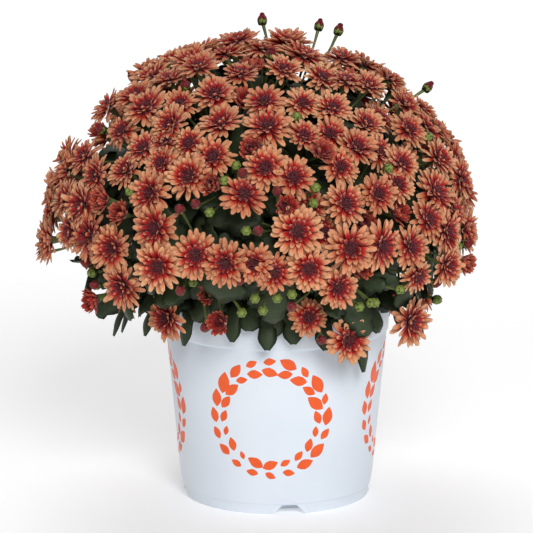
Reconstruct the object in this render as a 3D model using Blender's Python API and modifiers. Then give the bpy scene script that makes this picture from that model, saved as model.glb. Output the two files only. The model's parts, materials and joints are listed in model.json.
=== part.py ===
# Pot chrysanthemum: a moulded pot, its potting soil, six leafy stems and the sprays of blooms they carry.
# Metres, +Z up. The pot stands on Z = 0 with its axis on the origin, and its printed front faces -Y.

import itertools
import math
import random

import bmesh
import bpy
from mathutils import Matrix, Vector

MM = 0.001
TOUCH_GAP = 0.3 * MM  # between pieces that rest on or in each other

# Pot, a 2.83 litre container
POT_HEIGHT = 153 * MM
POT_WALL = 1.6 * MM
POT_FLOOR = 2.0 * MM
POT_STEPS = 36
FOOT_RADIUS = 72.2 * MM
FOOT_HEIGHT = 8.0 * MM
BODY_FOOT_RADIUS = 73.4 * MM
BODY_LOW_RADIUS = 75.0 * MM
BODY_LOW_HEIGHT = 17 * MM
BODY_TOP_RADIUS = 85.2 * MM
LEDGE_HEIGHT = 126 * MM
RIM_LOW_RADIUS = 86.2 * MM
RIM_TOP_RADIUS = 87.6 * MM
LIP_THICKNESS = 2.4 * MM
LIP_DEPTH = 3 * MM
SMALL_STEP = 0.5 * MM  # of the foot and the ledge

# Drain channels under the floor
CHANNELS = 4
FIRST_CHANNEL_AZIMUTH = math.radians(7.7)
CHANNEL_HEIGHT = 7.5 * MM
CHANNEL_WIDTHS = (26 * MM, 10.5 * MM)  # at the foot and at its roof
CHANNEL_INNER_RADIUS = 54 * MM
SLANT_GROWTH = 2.0  # a slanted side moves this much sideways for each unit of clearance
DRAIN_HOLE_RADIUS = 3.0 * MM
DRAIN_HOLE_SIDES = 10
DRAIN_HOLE_SETBACK = 6 * MM  # from the channel's inner end
CUTTER_OVERLAP = 2 * MM  # past the face that a cutter opens

# Soil
SOIL_HEIGHT = 137 * MM
SOIL_CROWN = (40 * MM, 1.4 * MM, 2 * MM)  # its radius, and how far its edge and its middle rise
STEM_HOLE_BOTTOM = 112 * MM
STEM_HOLE_ROOM = 1.2 * MM
STEM_HOLE_SIDES = 8

# Dome of blooms: its middle, and its half widths to the blooms' hearts
DOME_CENTRE = Vector((-11, 0, 201)) * MM
DOME_RADII = Vector((166, 161, 153)) * MM
DOME_EDGE_SINE = -0.30  # the dome ends this far below its middle, as a share of its half height
DOME_TUCK = 1.8  # how fast it narrows below its middle
LOW_FACING = 0.6  # how far the blooms below the middle face down
DOME_BLOOMS = 224
SPRAYS = 33
SPRAY_EDGE_SINE = -0.16
GOLDEN_ANGLE = math.pi * (3 - math.sqrt(5))
SEED = 11
SCATTER = 0.05  # sideways, as a share of the dome's radius
CLOSEST = 0.165  # between neighbours, likewise
FRONT_CLOSEST = 0.12  # between a scattered bloom and one of those at the front
DEPTH_SCATTER = 6 * MM
LEAN_SCATTER = 0.20  # of a bloom's facing
# Only leaves and the blooms that are listed show here: azimuth and sine, each from and to
LEAFY_ZONES = ((-112, 105, -1.0, -0.02), (75, 100, -0.02, 0.06), (-105, -86, 0.40, 0.80))

# Blooms
BLOOM_RADII = (17.5 * MM, 21.5 * MM)
YOUNG_RADII = (10.5 * MM, 14 * MM)
YOUNG_SHARE = 0.10
PETALS = 7
NECK_DEPTH = (0.42, 8 * MM)  # behind the heart: a share of the petal's length, and the most
# Shares of the petal's length, out from the heart and up, for notches and for petals between the long ones
NOTCH = (0.60, 0.06)
INNER_PETAL = (0.84, 0.14)
HEART_RISE = 0.16
NEIGHBOURHOOD = 6 * MM  # past two blooms' petals, within which they are kept apart
BUD_RADIUS = 4.6 * MM
BUD_RISE = 4 * MM  # above the blooms round it
BUD_CLEAR_ANGLE = math.radians(13)  # between its stalk and theirs
CLEAR_GAP = 0.6 * MM  # between neighbouring blooms
LEAST_COSINE = 0.05  # a petal turned further than this from a neighbour can't meet it
NECK_RADIUS = 1.3 * MM
FORK_SHARE = 0.66  # how far out along its direction each spray forks
FORK_RADIUS = 4 * MM
ROOT_RADIUS = 0.85 * MM  # of a bloom's stalk where it leaves the fork
HUB_ROOM = 1.12  # between stalks at the fork
STALK_SHARE = 0.60  # where a spray's stalk meets the stem's branch
STALK_RADIUS = 1.9 * MM
STALK_SIDES = 4
OPEN_CUP = 0.22  # how far the petals' tips rise, as a share of their length
YOUNG_CUP = 0.62

# Blooms that show at the front: azimuth from the front in degrees, height and petal length in mm
FRONT_BLOOMS = (
    (-62, 221, 18), (-67, 242, 17), (-43, 215, 20), (-40, 187, 20), (-29, 234, 21), (-27, 207, 21),
    (-17, 217, 20), (-9, 212, 19), (-2, 212, 17), (-55, 170, 13), (-32, 258, 20), (-21, 271, 19),
    (-40, 241, 13), (-5, 261, 19), (-33, 294, 15), (-40, 288, 17), (-44, 272, 17), (-31, 279, 15),
    (-24, 294, 15), (-15, 286, 18), (-34, 305, 18), (-15, 309, 19), (-64, 318, 19), (-58, 333, 16),
    (-23, 328, 19), (-90, 353, 20), (-48, 350, 18), (-56, 265, 17), (-71, 274, 17), (-43, 340, 17),
    (2, 353, 17), (90, 353, 22), (13, 340, 16), (37, 337, 16), (47, 332, 16), (2, 306, 21), (1, 323, 17),
    (1, 279, 19), (9, 272, 18), (6, 252, 12), (9, 235, 21), (3, 205, 17), (12, 208, 19), (20, 192, 18),
    (23, 221, 21), (33, 220, 21), (42, 216, 18), (50, 234, 18), (64, 235, 18), (23, 253, 19),
    (33, 257, 17), (41, 262, 16), (45, 275, 17), (24, 279, 16), (31, 290, 18), (24, 301, 16),
    (29, 317, 17), (40, 287, 16), (57, 296, 17), (41, 306, 16), (68, 273, 18), (90, 239, 16),
    (56, 197, 18), (45, 193, 15), (14, 300, 15), (17, 321, 15), (56, 326, 16), (90, 343, 17),
    (69, 311, 16), (90, 303, 15), (90, 288, 15), (-3, 292, 14), (-14, 340, 16), (90, 325, 15),
    (-36, 319, 15), (-56, 297, 15), (-14, 267, 13), (18, 287, 13), (-48, 249, 14), (68, 194, 13),
)
YOUNG_LENGTH = 14.5 * MM  # blooms with shorter petals than this are half open

# Buds that stand out past the blooms: azimuth in degrees, height in mm, and how far out on the dome
OUTLYING_BUDS = (
    (104, 305, 1.08), (-104, 183, 1.08), (140, 343, 1.11), (180, 349, 1.10), (-118, 315, 1.03), (120, 343, 1.10),
)

# Blooms that hang at the pot's rim: azimuth from the front in degrees, distance from the axis,
# height and petal length in mm
SKIRT_BLOOMS = (
    (-42, 122, 157, 20), (-23, 127, 180, 11), (-20, 121, 159, 12), (11, 121, 164, 16), (26.5, 118, 144, 20),
    (55, 122, 150, 21), (112, 122, 148, 18), (134, 120, 139, 20), (161, 124, 148, 19),
    (197, 120, 138, 20), (226, 124, 147, 19), (252, 122, 143, 18),
)
SKIRT_LIFT = 0.08  # how far they face up

# Leafy stems, one in each sixth of the pot: the stem's points as distance from the axis and height, in mm
STEMS = 6
STEM_POINTS = ((24, 112.3), (25, 150), (33, 176), (37, 212), (30, 246))
STEM_RADII = (3.3 * MM, 3.1 * MM, 2.9 * MM, 2.6 * MM, 2.1 * MM)
STEM_SIDES = 6
BRANCH_RADIUS = 1.9 * MM
BRANCH_SWELL = 1.15  # at its foot
BRANCH_END = 4 * MM  # its last, straight stretch
RISING_WAY = 30 * MM  # how much nearer a node above a branch's end must be than one below it
LEAF_THICKNESS = 0.9 * MM
LEAF_ROWS = ((0.0, 0.08), (0.30, 0.47), (0.66, 0.42), (1.0, 0.08))  # along, half width
LEAF_LENGTH = 46 * MM
LEAF_WIDTH = 30 * MM
LEAF_FOLD = 0.22
LEAF_SIZES = (1.0, 0.85, 0.7, 0.55)  # tried in turn
LEAF_BOW = 0.16
PETIOLE_RADII = (1.3 * MM, 1.1 * MM)
LEAF_SHELL = 0.575  # inner leaves stay inside this share of the dome
WEDGE_MARGIN = 1.5 * MM

# Leaves that hang over the rim: azimuth in degrees, the tip's distance and height, and the width in mm
SKIRT_LEAVES = (
    (-72, 131, 131, 27), (-58, 118, 136, 24), (-43, 103, 131, 22), (-19, 103, 139, 22), (-4, 104, 134, 26),
    (7, 101, 138, 28), (21, 102, 132, 28), (41, 100, 110, 22), (72, 118, 130, 26), (106, 112, 128, 28),
    (140, 104, 122, 26), (176, 112, 126, 28), (213, 106, 120, 26), (249, 116, 128, 28), (283, 122, 131, 26),
)
RIM_CROSSING = ((66 * MM, 168 * MM), (97 * MM, 178 * MM))  # distance and height of its start and turn
RIM_TURN = 6 * MM  # how far inside its tip it turns down


def clear_scene():
    for obj in list(bpy.data.objects):
        bpy.data.objects.remove(obj)


def material(name, colour, roughness):
    made = bpy.data.materials.new(name)
    made.use_nodes = True
    shader = made.node_tree.nodes["Principled BSDF"]
    shader.inputs["Base Color"].default_value = (*colour, 1)
    shader.inputs["Roughness"].default_value = roughness
    shader.inputs["Metallic"].default_value = 0
    return made


def collection(name, hidden=False):
    made = bpy.data.collections.new(name)
    made.hide_render = hidden
    bpy.context.scene.collection.children.link(made)
    return made


def add_object(name, bm, into):
    mesh = bpy.data.meshes.new(name)
    bmesh.ops.recalc_face_normals(bm, faces=bm.faces)
    bm.to_mesh(mesh)
    bm.free()
    obj = bpy.data.objects.new(name, mesh)
    into.objects.link(obj)
    return obj


def turned(name, profile, steps, into):
    """A profile of (radius, height) from axis to axis, down its outer side, turned about Z."""
    mesh = bpy.data.meshes.new(name)
    points = [(radius, 0, height) for radius, height in profile]
    mesh.from_pydata(points, [(i, i + 1) for i in range(len(points) - 1)], [])
    obj = bpy.data.objects.new(name, mesh)
    into.objects.link(obj)
    screw = obj.modifiers.new("Screw", "SCREW")
    screw.steps = screw.render_steps = steps
    screw.use_merge_vertices = True
    screw.merge_threshold = 0.0001
    screw.use_smooth_shade = True
    return obj


def boolean(obj, operation, group, solver="EXACT"):
    modifier = obj.modifiers.new(operation.title(), "BOOLEAN")
    modifier.operation = operation
    modifier.operand_type = "COLLECTION"
    modifier.collection = group
    modifier.solver = solver


def fuse(name, pieces, look, into):
    """Joins overlapping pieces into one body, and removes them."""
    group = collection(name + "_pieces")
    for piece in pieces[1:]:
        for owner in list(piece.users_collection):
            owner.objects.unlink(piece)
        group.objects.link(piece)
    boolean(pieces[0], "UNION", group, "MANIFOLD")
    bpy.context.view_layer.update()
    evaluated = pieces[0].evaluated_get(bpy.context.evaluated_depsgraph_get())
    mesh = bpy.data.meshes.new_from_object(evaluated)
    for piece in pieces:
        bpy.data.objects.remove(piece)
    bpy.data.collections.remove(group)
    mesh.materials.clear()
    mesh.materials.append(look)
    mesh.name = name
    into.objects.link(bpy.data.objects.new(name, mesh))


def at(azimuth, distance, height):
    """A point this far from the pot's axis. Azimuth 0 is the front, and it grows towards +X."""
    return Vector((distance * math.sin(azimuth), -distance * math.cos(azimuth), height))


def frame_along(direction, guide=None):
    """Two unit vectors across a direction, the first as near as can be to a guide."""
    across = (guide - direction * guide.dot(direction)) if guide else direction.orthogonal()
    across.normalize()
    return across, direction.cross(across)


# Pot and soil

def pot_outside():
    return [
        (RIM_TOP_RADIUS, POT_HEIGHT),
        (RIM_LOW_RADIUS, LEDGE_HEIGHT),
        (BODY_TOP_RADIUS, LEDGE_HEIGHT - SMALL_STEP),
        (BODY_LOW_RADIUS, BODY_LOW_HEIGHT),
        (BODY_FOOT_RADIUS, FOOT_HEIGHT + SMALL_STEP),
        (FOOT_RADIUS, FOOT_HEIGHT),
        (FOOT_RADIUS - SMALL_STEP, 0),
    ]


def pot_inside(clearance=0.0):
    """From the floor up to the ledge, moved in by a clearance."""
    wall = POT_WALL + clearance
    return [
        (FOOT_RADIUS - SMALL_STEP - wall, POT_FLOOR + clearance),
        (BODY_FOOT_RADIUS - wall, FOOT_HEIGHT + POT_WALL),
        (BODY_LOW_RADIUS - wall, BODY_LOW_HEIGHT + POT_WALL),
        (BODY_TOP_RADIUS - wall, LEDGE_HEIGHT - SMALL_STEP),
    ]


def channel_block(name, azimuth, grow, bottom, inner_radius, outer_radius, into):
    """A trapezoid bar that runs out under the pot's wall, grown on its sides and top."""
    length = outer_radius - inner_radius
    narrowing = (CHANNEL_WIDTHS[1] - CHANNEL_WIDTHS[0]) / CHANNEL_HEIGHT
    bm = bmesh.new()
    bmesh.ops.create_cube(bm, size=1)
    for vert in bm.verts:
        height = CHANNEL_HEIGHT + grow if vert.co.z > 0 else bottom
        width = CHANNEL_WIDTHS[0] + narrowing * height + 2 * grow * SLANT_GROWTH
        vert.co = (vert.co.x * width, -(inner_radius + length * (0.5 - vert.co.y)), height)
    bmesh.ops.rotate(bm, verts=bm.verts, matrix=Matrix.Rotation(azimuth, 3, "Z"))
    return add_object(name, bm, into)


def channel_azimuths():
    return [FIRST_CHANNEL_AZIMUTH + k * 2 * math.pi / CHANNELS for k in range(CHANNELS)]


def upright_bar(name, place, radius, low, high, sides, into):
    bm = bmesh.new()
    bmesh.ops.create_cone(bm, cap_ends=True, segments=sides, radius1=radius, radius2=radius, depth=high - low)
    bmesh.ops.translate(bm, verts=bm.verts, vec=Vector((place.x, place.y, (low + high) / 2)))
    return add_object(name, bm, into)


def build_pot(look, into):
    lip = RIM_TOP_RADIUS - LIP_THICKNESS
    profile = [
        (0, POT_FLOOR),
        *pot_inside(),
        (RIM_LOW_RADIUS - POT_WALL, LEDGE_HEIGHT + SMALL_STEP),
        (lip, POT_HEIGHT - LIP_DEPTH),
        (lip, POT_HEIGHT),
        *pot_outside(),
        (0, 0),
    ]
    pot = turned("pot", profile, POT_STEPS, into)
    covers = collection("channel_covers", hidden=True)
    channels = collection("channel_cutters", hidden=True)
    inner, outer = CHANNEL_INNER_RADIUS, RIM_TOP_RADIUS
    within_wall = FOOT_RADIUS - SMALL_STEP - POT_WALL / 2
    roof = CHANNEL_HEIGHT + POT_WALL
    for k, azimuth in enumerate(channel_azimuths()):
        channel_block(f"cover_{k}", azimuth, POT_WALL, POT_FLOOR / 2, inner - POT_WALL, within_wall, covers)
        channel_block(f"channel_{k}", azimuth, 0, -CUTTER_OVERLAP, inner, outer, channels)
        place = at(azimuth, inner + DRAIN_HOLE_SETBACK, 0)
        low, high = CHANNEL_HEIGHT - CUTTER_OVERLAP, roof + CUTTER_OVERLAP
        upright_bar(f"drain_{k}", place, DRAIN_HOLE_RADIUS, low, high, DRAIN_HOLE_SIDES, channels)
    boolean(pot, "UNION", covers)
    boolean(pot, "DIFFERENCE", channels)
    show_as_wires(covers, channels)
    pot.data.materials.append(look)


def show_as_wires(*cutter_groups):
    for group in cutter_groups:
        for cutter in group.objects:
            cutter.hide_render = True
            cutter.display_type = "WIRE"


def build_soil(look, into):
    crown_radius, crown_edge, crown_middle = SOIL_CROWN
    edge = RIM_LOW_RADIUS - POT_WALL - TOUCH_GAP
    profile = [
        (0, SOIL_HEIGHT + crown_middle),
        (crown_radius, SOIL_HEIGHT + crown_edge),
        (edge, SOIL_HEIGHT),
        (edge, LEDGE_HEIGHT + POT_WALL),
        *reversed(pot_inside(TOUCH_GAP)),
        (0, POT_FLOOR + TOUCH_GAP),
    ]
    soil = turned("soil", profile, POT_STEPS, into)
    cutters = collection("soil_cutters", hidden=True)
    grow = POT_WALL + TOUCH_GAP
    inner = CHANNEL_INNER_RADIUS - grow
    for k, azimuth in enumerate(channel_azimuths()):
        channel_block(f"over_channel_{k}", azimuth, grow, -CUTTER_OVERLAP, inner, RIM_TOP_RADIUS, cutters)
    top = SOIL_HEIGHT + crown_middle + CUTTER_OVERLAP
    for k in range(STEMS):
        radius = STEM_RADII[0] + STEM_HOLE_ROOM
        foot = stem_nodes(k)[0]
        upright_bar(f"stem_hole_{k}", foot, radius, STEM_HOLE_BOTTOM, top, STEM_HOLE_SIDES, cutters)
    boolean(soil, "DIFFERENCE", cutters)
    show_as_wires(cutters)
    soil.data.materials.append(look)


# Where the blooms, buds and forks stand

def spiral(count, edge_sine):
    """Unit directions spread evenly from the top of the dome down to its edge."""
    directions = []
    for i in range(count):
        sine = 1 - (i + 0.5) / count * (1 - edge_sine)
        across = math.sqrt(1 - sine * sine)
        turn = i * GOLDEN_ANGLE
        directions.append(Vector((across * math.sin(turn), -across * math.cos(turn), sine)))
    return directions


def spread_out(directions, fixed, closest, rounds=12):
    """Pushes apart neighbours that stand closer than this, but leaves the fixed ones where they are."""
    for _ in range(rounds):
        for i, one in enumerate(directions):
            for other in directions[i + 1 :]:
                apart = other - one
                push = apart.normalized() * max(0, closest - apart.length) / 2
                one -= push
                other += push
            for other in fixed:
                apart = other - one
                one -= apart.normalized() * max(0, closest - apart.length)
        for one in directions:
            one.z = max(one.z, DOME_EDGE_SINE)
            one.normalize()
    return directions


def on_dome(direction, share=1.0):
    """The point of the dome in this direction, or a share of the way out to it."""
    sine = direction.z
    across = math.sqrt(1 - sine * sine)
    if sine < 0:
        across = 1 - DOME_TUCK * sine * sine
    flat = Vector((direction.x, direction.y, 0)).normalized() * across
    offset = Vector((flat.x * DOME_RADII.x, flat.y * DOME_RADII.y, sine * DOME_RADII.z))
    return DOME_CENTRE + offset * share


def dome_facing(direction):
    facing = Vector(direction[k] / DOME_RADII[k] for k in range(3))
    if facing.z < 0:
        facing.z *= LOW_FACING
    return facing.normalized()


def direction_of(point):
    offset = point - DOME_CENTRE
    return Vector(offset[k] / DOME_RADII[k] for k in range(3)).normalized()


def direction_at(azimuth, height):
    sine = (height - DOME_CENTRE.z) / DOME_RADII.z
    across = math.sqrt(1 - sine * sine)
    return Vector((across * math.sin(azimuth), -across * math.cos(azimuth), sine))


def nearest(direction, directions):
    return max(range(len(directions)), key=lambda k: direction.dot(directions[k]))


def scattered_vector(rng, size):
    return Vector(rng.uniform(-size, size) for _ in range(3))


def in_leafy_zone(direction):
    azimuth = math.degrees(math.atan2(direction.x, -direction.y))
    return any(a < azimuth < b and low < direction.z < high for a, b, low, high in LEAFY_ZONES)


def clear_of(fixed, directions):
    return [d for d in directions if min((d - f).length for f in fixed) > FRONT_CLOSEST]


def bloom_at(heart, facing, length, spray):
    kind = "young" if length < YOUNG_LENGTH else "open"
    return {"heart": heart, "facing": facing, "length": length, "spray": spray, "kind": kind}


def place_blooms(forks):
    """Every bloom: where its heart is, which way it faces, its petals' length and its spray."""
    rng = random.Random(SEED)
    front = [direction_at(math.radians(azimuth), height * MM) for azimuth, height, _ in FRONT_BLOOMS]
    fixed = front + outlying()
    rest = [d + scattered_vector(rng, SCATTER) for d in spiral(DOME_BLOOMS, DOME_EDGE_SINE)]
    rest = spread_out(clear_of(fixed, rest), fixed, CLOSEST)
    rest = clear_of(fixed, rest)
    lengths = [length * MM for _, _, length in FRONT_BLOOMS]
    for _ in rest:
        young = rng.random() < YOUNG_SHARE
        lengths.append(rng.uniform(*(YOUNG_RADII if young else BLOOM_RADII)))
    blooms = []
    for k, (d, length) in enumerate(zip(front + rest, lengths)):
        sink = rng.uniform(-DEPTH_SCATTER, 0)
        facing = (dome_facing(d) + scattered_vector(rng, LEAN_SCATTER)).normalized()
        if k >= len(front) and in_leafy_zone(d):
            continue
        blooms.append(bloom_at(on_dome(d) + dome_facing(d) * sink, facing, length, nearest(d, forks)))
    for azimuth, distance, height, length in SKIRT_BLOOMS:
        heart = at(math.radians(azimuth), distance * MM, height * MM)
        outward = at(math.radians(azimuth), 1, SKIRT_LIFT)
        facing = (outward + scattered_vector(rng, LEAN_SCATTER)).normalized()
        blooms.append(bloom_at(heart, facing, length * MM, nearest(direction_of(heart), forks)))
    for bloom in blooms:
        bloom["fork"] = on_dome(forks[bloom["spray"]], FORK_SHARE)
    return blooms


def bud_at(heart, facing, spray, forks):
    fork = on_dome(forks[spray], FORK_SHARE)
    return {"heart": heart, "facing": facing, "length": BUD_RADIUS, "spray": spray, "fork": fork, "kind": "bud"}


def place_buds(blooms, forks):
    """The outlying buds, and one in each other spray, in the widest gap between three of its blooms."""
    buds = []
    for direction, (_, _, share) in zip(outlying(), OUTLYING_BUDS):
        buds.append(bud_at(on_dome(direction, share), dome_facing(direction), nearest(direction, forks), forks))
    taken = {bud["spray"] for bud in buds}
    for k in range(len(forks)):
        own = [b for b in blooms if b["spray"] == k]
        gaps = []
        for trio in itertools.combinations(own, 3):
            middle = sum((b["heart"] for b in trio), Vector()) / 3
            facing = sum((b["facing"] for b in trio), Vector()).normalized()
            heart = middle + facing * BUD_RISE
            room = min(stalk_angle(heart, other["heart"], forks[k]) for other in own)
            gaps.append((room, heart, facing))
        room, heart, facing = max(gaps, key=lambda gap: gap[0], default=(0, None, None))
        if room > BUD_CLEAR_ANGLE and k not in taken:
            buds.append(bud_at(heart, facing, k, forks))
    return buds


def outlying():
    return [direction_at(math.radians(azimuth), height * MM) for azimuth, height, _ in OUTLYING_BUDS]


def stalk_angle(one, other, fork_direction):
    """The angle between two blooms' stalks at their fork."""
    fork = on_dome(fork_direction, FORK_SHARE)
    return (one - fork).angle(other - fork)


def room_towards(item, across, others):
    """How far a petal may reach this way before it comes to a neighbour's share of the space or its stalk."""
    room = item["length"]
    for other in others:
        share = item["length"] / (item["length"] + other["length"])
        centre = (other["heart"], share, CLEAR_GAP / 2)
        if other["kind"] == "bud":
            centre = (other["heart"], 1, CLEAR_GAP + BUD_RADIUS)
        stalk = (nearest_on_line(item["heart"], other["heart"], other["fork"]), 1, CLEAR_GAP + NECK_RADIUS)
        for point, part, gap in (centre, stalk):
            apart = point - item["heart"]
            towards = across.dot(apart.normalized())
            if towards > LEAST_COSINE:
                room = min(room, (apart.length * part - gap) / towards)
    return room


def nearest_on_line(point, start, end):
    along = (point - start).dot(end - start) / (end - start).length_squared
    return start.lerp(end, min(1, max(0, along)))


# Sprays

def ring(bm, centre, radius, facing, sides, guide=None):
    across, along = frame_along(facing, guide)
    turns = [2 * math.pi * k / sides for k in range(sides)]
    return [bm.verts.new(centre + (across * math.cos(t) + along * math.sin(t)) * radius) for t in turns]


def loft(bm, lower, upper):
    """Triangles between two rings that start at the same side and may differ in number."""
    step = len(lower) / len(upper)
    for k, vert in enumerate(upper):
        near = int(k * step + 0.5) % len(lower)
        after = int((k + 1) * step + 0.5) % len(lower)
        following = upper[(k + 1) % len(upper)]
        bm.faces.new((lower[near], following, vert))
        if after != near:
            bm.faces.new((lower[near], lower[after], following))


def close_ring(bm, verts, tip):
    for k, vert in enumerate(verts):
        bm.faces.new((vert, verts[(k + 1) % len(verts)], tip))


def pedicel(bm, place, fork, neck_depth, hub_radius):
    """A thin three-sided stalk from the fork's skin to a bloom's or bud's neck."""
    neck = place["heart"] - place["facing"] * neck_depth
    way = (neck - fork).normalized()
    foot = fork + way * math.sqrt(hub_radius ** 2 - ROOT_RADIUS ** 2)
    guide = way.cross(place["facing"]) + way.orthogonal() * 0.001
    root = ring(bm, foot, ROOT_RADIUS, way, 3, guide)
    top = ring(bm, neck, NECK_RADIUS, (way + place["facing"]).normalized(), 3, guide)
    loft(bm, root, top)
    return root, top, guide


def neighbours_of(bloom, others):
    heart, reach = bloom["heart"], bloom["length"] + NEIGHBOURHOOD
    return [o for o in others if o is not bloom and (o["heart"] - heart).length < reach + o["length"]]


def add_bloom(bm, bloom, others, fork, hub_radius):
    """A star of petals, long and short in turn, on its own stalk. Gives the stalk's ring at the fork."""
    facing, heart, length = bloom["facing"], bloom["heart"], bloom["length"]
    neck_depth = min(NECK_DEPTH[0] * length, NECK_DEPTH[1])
    root, top, guide = pedicel(bm, bloom, fork, neck_depth, hub_radius)
    across, along = frame_along(facing, guide)
    near = neighbours_of(bloom, others)
    cup = YOUNG_CUP if bloom["kind"] == "young" else OPEN_CUP
    outline = []
    for k in range(2 * PETALS):
        turn = math.pi * k / PETALS
        outward = across * math.cos(turn) + along * math.sin(turn)
        if k % 2:
            reach, rise = NOTCH
        elif k % 4:
            reach, rise = INNER_PETAL[0], cup + INNER_PETAL[1]
        else:
            reach, rise = 1, cup
        offset = (outward * reach + facing * rise) * length
        room = room_towards(bloom, offset.normalized(), near)
        outline.append(bm.verts.new(heart + offset * min(1.0, room / offset.length)))
    loft(bm, top, outline)
    close_ring(bm, outline, bm.verts.new(heart + facing * HEART_RISE * length))
    return root


def add_bud(bm, bud, fork, hub_radius):
    """A round bud on its own stalk."""
    root, top, guide = pedicel(bm, bud, fork, BUD_RADIUS, hub_radius)
    belly = ring(bm, bud["heart"], BUD_RADIUS, bud["facing"], 5, guide)
    loft(bm, top, belly)
    close_ring(bm, belly, bm.verts.new(bud["heart"] + bud["facing"] * BUD_RADIUS))
    return root


def hub_size(stalks):
    """The fork's radius, at which its stalks stand clear of each other."""
    size = FORK_RADIUS
    for i, one in enumerate(stalks):
        for other in stalks[i + 1 :]:
            size = max(size, HUB_ROOM * ROOT_RADIUS / math.sin(one.angle(other) / 2))
    return size


def add_fork(bm, rings):
    """The skin between the rings of stalks, which all lie on one sphere round the fork."""
    bmesh.ops.convex_hull(bm, input=[vert for one in rings for vert in one])
    for one in rings:
        own = set(one)
        inside = {face for vert in one for face in vert.link_faces if own.issuperset(face.verts)}
        bmesh.ops.delete(bm, geom=list(inside), context="FACES")


def build_spray(name, direction, blooms, buds, others, look, into):
    fork = on_dome(direction, FORK_SHARE)
    foot = on_dome(direction, STALK_SHARE)
    inward = (foot - fork).normalized()
    size = hub_size([(item["heart"] - fork).normalized() for item in blooms + buds])
    bm = bmesh.new()
    upper_end = fork + inward * math.sqrt(size ** 2 - STALK_RADIUS ** 2)
    low = ring(bm, foot, STALK_RADIUS, inward, STALK_SIDES)
    high = ring(bm, upper_end, STALK_RADIUS, inward, STALK_SIDES)
    loft(bm, low, high)
    bm.faces.new(low)
    rings = [high]
    rings += [add_bloom(bm, bloom, others, fork, size) for bloom in blooms]
    rings += [add_bud(bm, bud, fork, size) for bud in buds]
    add_fork(bm, rings)
    bmesh.ops.triangulate(bm, faces=bm.faces)
    spray = add_object(name, bm, into)
    spray.data.materials.append(look)


def build_sprays(blooms, buds, forks, look, into):
    for k, direction in enumerate(forks):
        own_blooms = [b for b in blooms if b["spray"] == k]
        own_buds = [b for b in buds if b["spray"] == k]
        build_spray(f"bloom_spray_{k + 1:02d}", direction, own_blooms, own_buds, blooms + buds, look, into)


def tube(name, points, radii, sides, into, end_way=None):
    """A stem through its points, with its end square to end_way."""
    bm = bmesh.new()
    rings = []
    guide = (points[1] - points[0]).orthogonal()
    for k, (point, radius) in enumerate(zip(points, radii)):
        way = (points[min(k + 1, len(points) - 1)] - points[max(k - 1, 0)]).normalized()
        if k == len(points) - 1 and end_way:
            way = end_way
        guide = frame_along(way, guide)[0]
        rings.append(ring(bm, point, radius, way, sides, guide))
    for lower, upper in zip(rings, rings[1:]):
        loft(bm, lower, upper)
    bm.faces.new(rings[0])
    bm.faces.new(rings[-1])
    bmesh.ops.triangulate(bm, faces=bm.faces)
    return add_object(name, bm, into)


# Leafy stems

def stem_azimuth(k):
    return 2 * math.pi * k / STEMS


def stem_nodes(k):
    return [at(stem_azimuth(k), distance * MM, height * MM) for distance, height in STEM_POINTS]


def stem_of(point):
    """The stem whose sixth of the pot holds this point."""
    azimuth = math.atan2(point.x, -point.y)
    return round(azimuth / (2 * math.pi / STEMS)) % STEMS


def inside_wedge(point, stem):
    """True if the point is clear of the neighbouring stems' sixths."""
    azimuth = stem_azimuth(stem)
    half = math.pi / STEMS
    for side in (-1, 1):
        edge = azimuth + side * half
        outward = Vector((math.cos(edge), math.sin(edge), 0)) * side
        if point.dot(outward) > -WEDGE_MARGIN:
            return False
    return True


def inside_shell(point):
    offset = point - DOME_CENTRE
    return Vector(offset[k] / DOME_RADII[k] for k in range(3)).length < LEAF_SHELL


def bezier(points, t):
    a, b, c = points
    return a * (1 - t) ** 2 + b * (2 * t * (1 - t)) + c * t * t


def leaf_piece(name, spine, side, width, into):
    """A lobed blade along a bent spine of three points, folded a little along its middle."""
    bm = bmesh.new()
    bmesh.ops.create_grid(bm, x_segments=2, y_segments=len(LEAF_ROWS) - 1, size=1)
    rows = len(LEAF_ROWS) - 1
    for vert in bm.verts:
        row = round((vert.co.y + 1) / 2 * rows)
        lateral = round(vert.co.x)
        along, half = LEAF_ROWS[row]
        here = bezier(spine, along)
        ahead = bezier(spine, min(1.0, along + 0.02)) - bezier(spine, max(0.0, along - 0.02))
        face = side.cross(ahead).normalized()
        vert.co = here + (side * lateral + face * abs(lateral) * LEAF_FOLD) * half * width
    bmesh.ops.triangulate(bm, faces=bm.faces)
    obj = add_object(name, bm, into)
    solidify = obj.modifiers.new("Solidify", "SOLIDIFY")
    solidify.thickness = LEAF_THICKNESS
    solidify.offset = 0
    return obj


def inner_leaf(name, start, end, stem, sign, into):
    """A leaf from the middle of a branch, shortened until it keeps to its own stem's space."""
    along = (end - start).normalized()
    sideways = along.cross(Vector((0, 0, 1))).normalized() * sign
    root = start.lerp(end, 0.5)
    reach = (sideways + along * 0.7 + Vector((0, 0, 0.15))).normalized()
    across = reach.cross(along.cross(reach)).normalized()
    for shrink in LEAF_SIZES:
        length, width = LEAF_LENGTH * shrink, LEAF_WIDTH * shrink
        tip = root + reach * length
        middle = root + reach * length * 0.5 + along * length * LEAF_BOW
        corners = [bezier((root, middle, tip), t) + across * s * half * width
                   for t, half in LEAF_ROWS[1:] for s in (-1, 1)]
        if all(inside_wedge(p, stem) and inside_shell(p) for p in corners):
            return leaf_piece(name, (root, middle, tip), across, width, into)
    return None


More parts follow.
